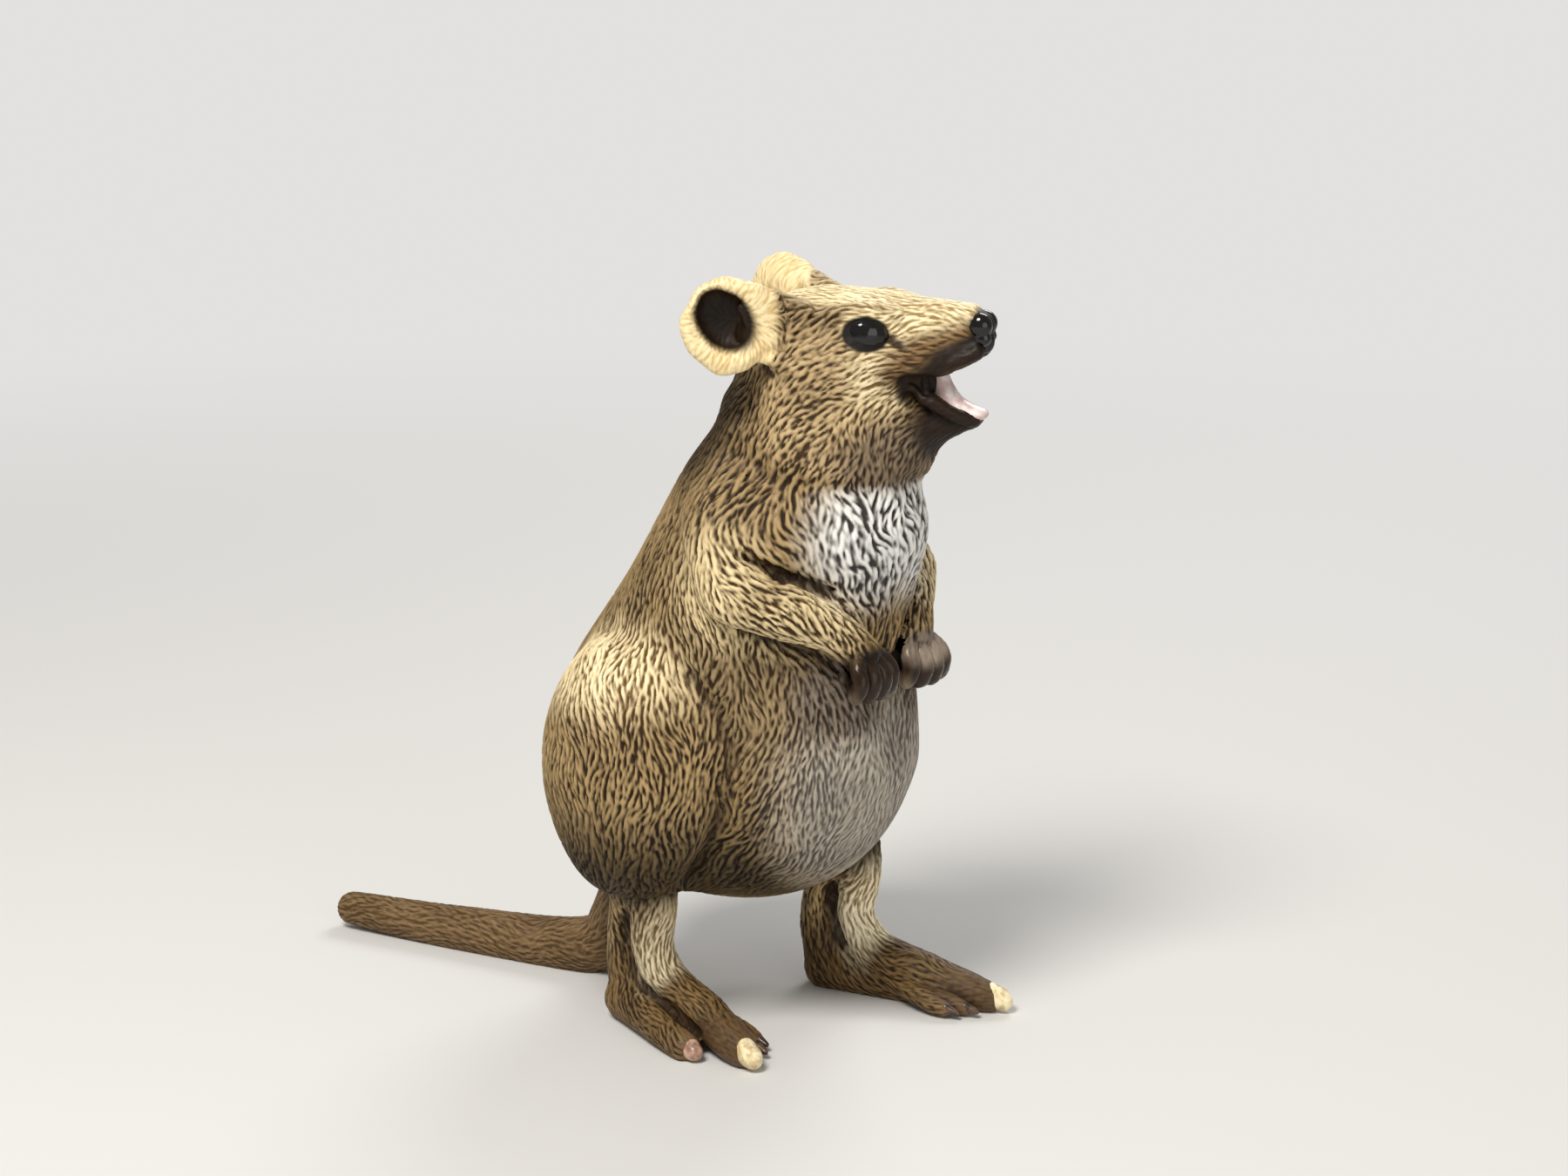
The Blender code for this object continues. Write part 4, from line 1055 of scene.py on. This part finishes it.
def closeHoles(bm, inwards):
    # A cap on each open loop: its edges are drawn to one point inside
    loops = []
    free = {e for e in bm.edges if e.is_boundary}
    while free:
        start = free.pop()
        group, stack = [start], list(start.verts)
        while stack:
            v = stack.pop()
            for e in v.link_edges:
                if e in free:
                    free.remove(e)
                    group.append(e)
                    stack.extend(e.verts)
        loops.append(group)
    for group in loops:
        made = bmesh.ops.extrude_edge_only(bm, edges=group)
        fresh = [g for g in made["geom"] if isinstance(g, bmesh.types.BMVert)]
        middle = sum((v.co for v in fresh), Vector()) / len(fresh)
        target = middle + (inwards - middle).normalized() * capDepth
        for v in fresh:
            v.co = target
        bmesh.ops.pointmerge(bm, verts=fresh, merge_co=target)


def ownersOf(skin, names):
    # For each face the number of its node, and for the body's upper layers the numbers after those
    places, edges = placesOf(skin), edgesOf(skin)
    share = relax(np.eye(len(names))[nearestNode(places)], edges, borderRounds)
    starts = np.empty(len(skin.polygons), np.int32)
    skin.polygons.foreach_get("loop_start", starts)
    corners = np.empty(len(skin.loops), np.int32)
    skin.loops.foreach_get("vertex_index", corners)
    first = corners[starts]
    owner = share.argmax(1)[first]
    heights, inBody = places[first][:, 2], owner == names.index("body")
    levels = [step / len(bodyLayers) for step in range(1, len(bodyLayers))]
    for step, level in enumerate(np.quantile(heights[inBody], levels)):
        owner = np.where(inBody & (heights > level), len(names) + step, owner)
    return owner


def showPiece(name, mesh, finish):
    # In metres, smooth and with its material
    setPlaces(mesh, placesOf(mesh) * mm)
    mesh.polygons.foreach_set("use_smooth", [True] * len(mesh.polygons))
    mesh.materials.clear()
    mesh.materials.append(finish)
    return addObject(name, mesh)


def buildPieces(skin, masks, finish):
    names = sorted(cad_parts)
    owner, normals = ownersOf(skin, names), normalsOf(skin)
    pieces = [(bodyLayers[0] if name == "body" else name + "_fur", name) for name in names]
    pieces += [(title, "body") for title in bodyLayers[1:]]
    painted = [name for name in masks if name not in ("bare", "mane")]
    origins = skin.attributes.new("origin", "INT", "POINT")
    origins.data.foreach_set("value", np.arange(1, len(normals) + 1, dtype=np.int32))
    for index, (title, node) in enumerate(pieces):
        bm = bmesh.new()
        bm.from_mesh(skin)
        bm.faces.ensure_lookup_table()
        away = [bm.faces[i] for i in np.nonzero(owner != index)[0]]
        bmesh.ops.delete(bm, geom=away, context="FACES")
        closeHoles(bm, sum((v.co for v in bm.verts), Vector()) / len(bm.verts))
        mesh = meshOf(bm, title)
        origin = np.empty(len(mesh.vertices), np.int32)
        mesh.attributes["origin"].data.foreach_get("value", origin)
        source = np.maximum(origin - 1, 0)
        for name in painted:
            layer = mesh.attributes.new(name, "FLOAT", "POINT")
            layer.data.foreach_set("value", masks[name][source].astype(np.float32))
        mesh.attributes.remove(mesh.attributes["origin"])
        piece = showPiece(title, mesh, finish)
        mesh.normals_split_custom_set_from_vertices([tuple(n) for n in normals[source]])
        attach(piece, "root")
        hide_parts(node)
        report(f"{title}: {sum(len(p.vertices) - 2 for p in mesh.polygons)} triangles")


# Glossy spots: eyes, nose, tongue and claws

enamels = {  # colour, the darker one in the brush marks, roughness and scale of the marks
    "gloss_black_enamel": ("#0B0A09", "#040303", 0.1, 900.0),
    "satin_pink_enamel": ("#E9DEDB", "#CDB0AA", 0.32, 1400.0),
    "satin_cream_enamel": ("#F4E7C0", "#C8AE7E", 0.35, 1800.0),
    "satin_rose_enamel": ("#C9A690", "#8E6B58", 0.35, 1800.0),
    "satin_umber_enamel": ("#5A4331", "#2C1E14", 0.35, 1800.0),
}
spotSkins = {"eye": (0.06, 4), "claw": (0.08, 3), "nose": (0.07, 5), "tongue": (0.08, 5)}  # grain and rounds
eyeShape = {"at": (-0.1, 2.35, -0.25), "size": (2.0, 2.65, 2.3), "tilt": 6, "forwards": 20}
claws = {  # finish, and rolls given ahead, out and up from the back of the heel
    "toe_claw": ("satin_cream_enamel", [
        [(11.8, -0.15, 1.0, 0.72), (12.45, -0.1, 0.8, 0.66), (12.7, -0.1, 0.65, 0.52)],
    ]),
    "outer_claw": ("satin_rose_enamel", [[(8.9, 1.6, 0.72, 0.66), (9.5, 1.6, 0.58, 0.52)]]),
    "inner_claws": ("satin_umber_enamel", [
        [(10.9, -1.7, 0.6, 0.36), (11.7, -1.75, 0.42, 0.16)], [(10.0, -2.4, 0.6, 0.36), (10.8, -2.5, 0.42, 0.16)],
    ]),
}
# Two pads with their mirror, and the one between them: ahead, out and up from the eyes, and full size
noseLumps = [
    ((5.7, 0.5, 0.2), (1.15, 1.5, 1.45)), ((5.85, 0.55, -0.5), (0.8, 1.1, 0.9)), ((5.95, 0, -0.65), (0.7, 1.0, 1.5)),
]
tongueShape = {
    "flat": 0.55, "spacing": 0.2,
    "roll": [
        (3.3, 0, -2.6, 0.55), (3.5, 0, -3.3, 0.68), (3.95, 0, -4.05, 0.78), (4.65, 0, -4.5, 0.8), (5.45, 0, -4.72, 0.7),
    ],
}


def addSpot(name, bm, kind, finish):
    grain, rounds = spotSkins[kind]
    mesh = fused(bm, grain)
    mesh.name = name
    setPlaces(mesh, relax(placesOf(mesh), edgesOf(mesh), rounds))
    piece = showPiece(name, mesh, finish)
    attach(piece, "root")


def buildSpots():
    finishes = {name: glossPaint(name, *look) for name, look in enamels.items()}
    for side, name in ((-1, "right"), (1, "left")):
        eye = bmesh.new()
        angles = Euler((math.radians(eyeShape["tilt"]), 0, math.radians(-side * eyeShape["forwards"])))
        turn = headTurn @ angles.to_matrix().to_4x4()
        addLump(eye, onCheek(side, *eyeShape["at"]), eyeShape["size"], turn)
        addSpot(name + "_eye", eye, "eye", finishes["gloss_black_enamel"])
        for part, (finish, rolls) in claws.items():
            claw = bmesh.new()
            addRolls(claw, partial(onFoot, side), rolls)
            addSpot(f"{name}_{part}", claw, "claw", finishes[finish])
    nose = bmesh.new()
    for side in (-1, 1):
        for spot, size in noseLumps[:2]:
            addLump(nose, onCheek(side, *spot), size, headTurn)
    addLump(nose, onHead(*noseLumps[2][0]), noseLumps[2][1], headTurn)
    addSpot("nose", nose, "nose", finishes["gloss_black_enamel"])
    tongue = bmesh.new()
    t = tongueShape
    addRolls(tongue, onHead, [t["roll"]], flat=t["flat"], turn=headTurn, spacing=t["spacing"])
    addSpot("tongue", tongue, "tongue", finishes["satin_pink_enamel"])


placeCamera(photoView)
buildStudio(studio)
report("studio")
trunk = buildTrunk(trunkShape)
report("trunk")
clay = bmesh.new()
for side in (-1, 1):
    addEar(clay, side)
    addArm(clay, side)
    addRolls(clay, partial(onFoot, side), legRolls)
addRoll(clay, *[(onTail(back, up), radius) for back, up, radius in tailShape])
addRolls(clay, partial(onBody, 1), chestFoot)
for side in (-1, 1):
    addRolls(clay, partial(onCheek, side), faceRolls)
addRolls(clay, onHead, middleRolls)
report("limbs")
clay.from_mesh(trunk)
grain = 0.086
skin = fused(clay, grain)
report(f"clay fused: {len(skin.vertices)} vertices")
setPlaces(skin, relax(placesOf(skin), edgesOf(skin), 5))
pressFolds(skin)
report("folds")
masks = cutFur(skin, grain, furLook)
report("fur")
buildPieces(skin, masks, paintedVinyl(paintLook))
buildSpots()
report("pieces")
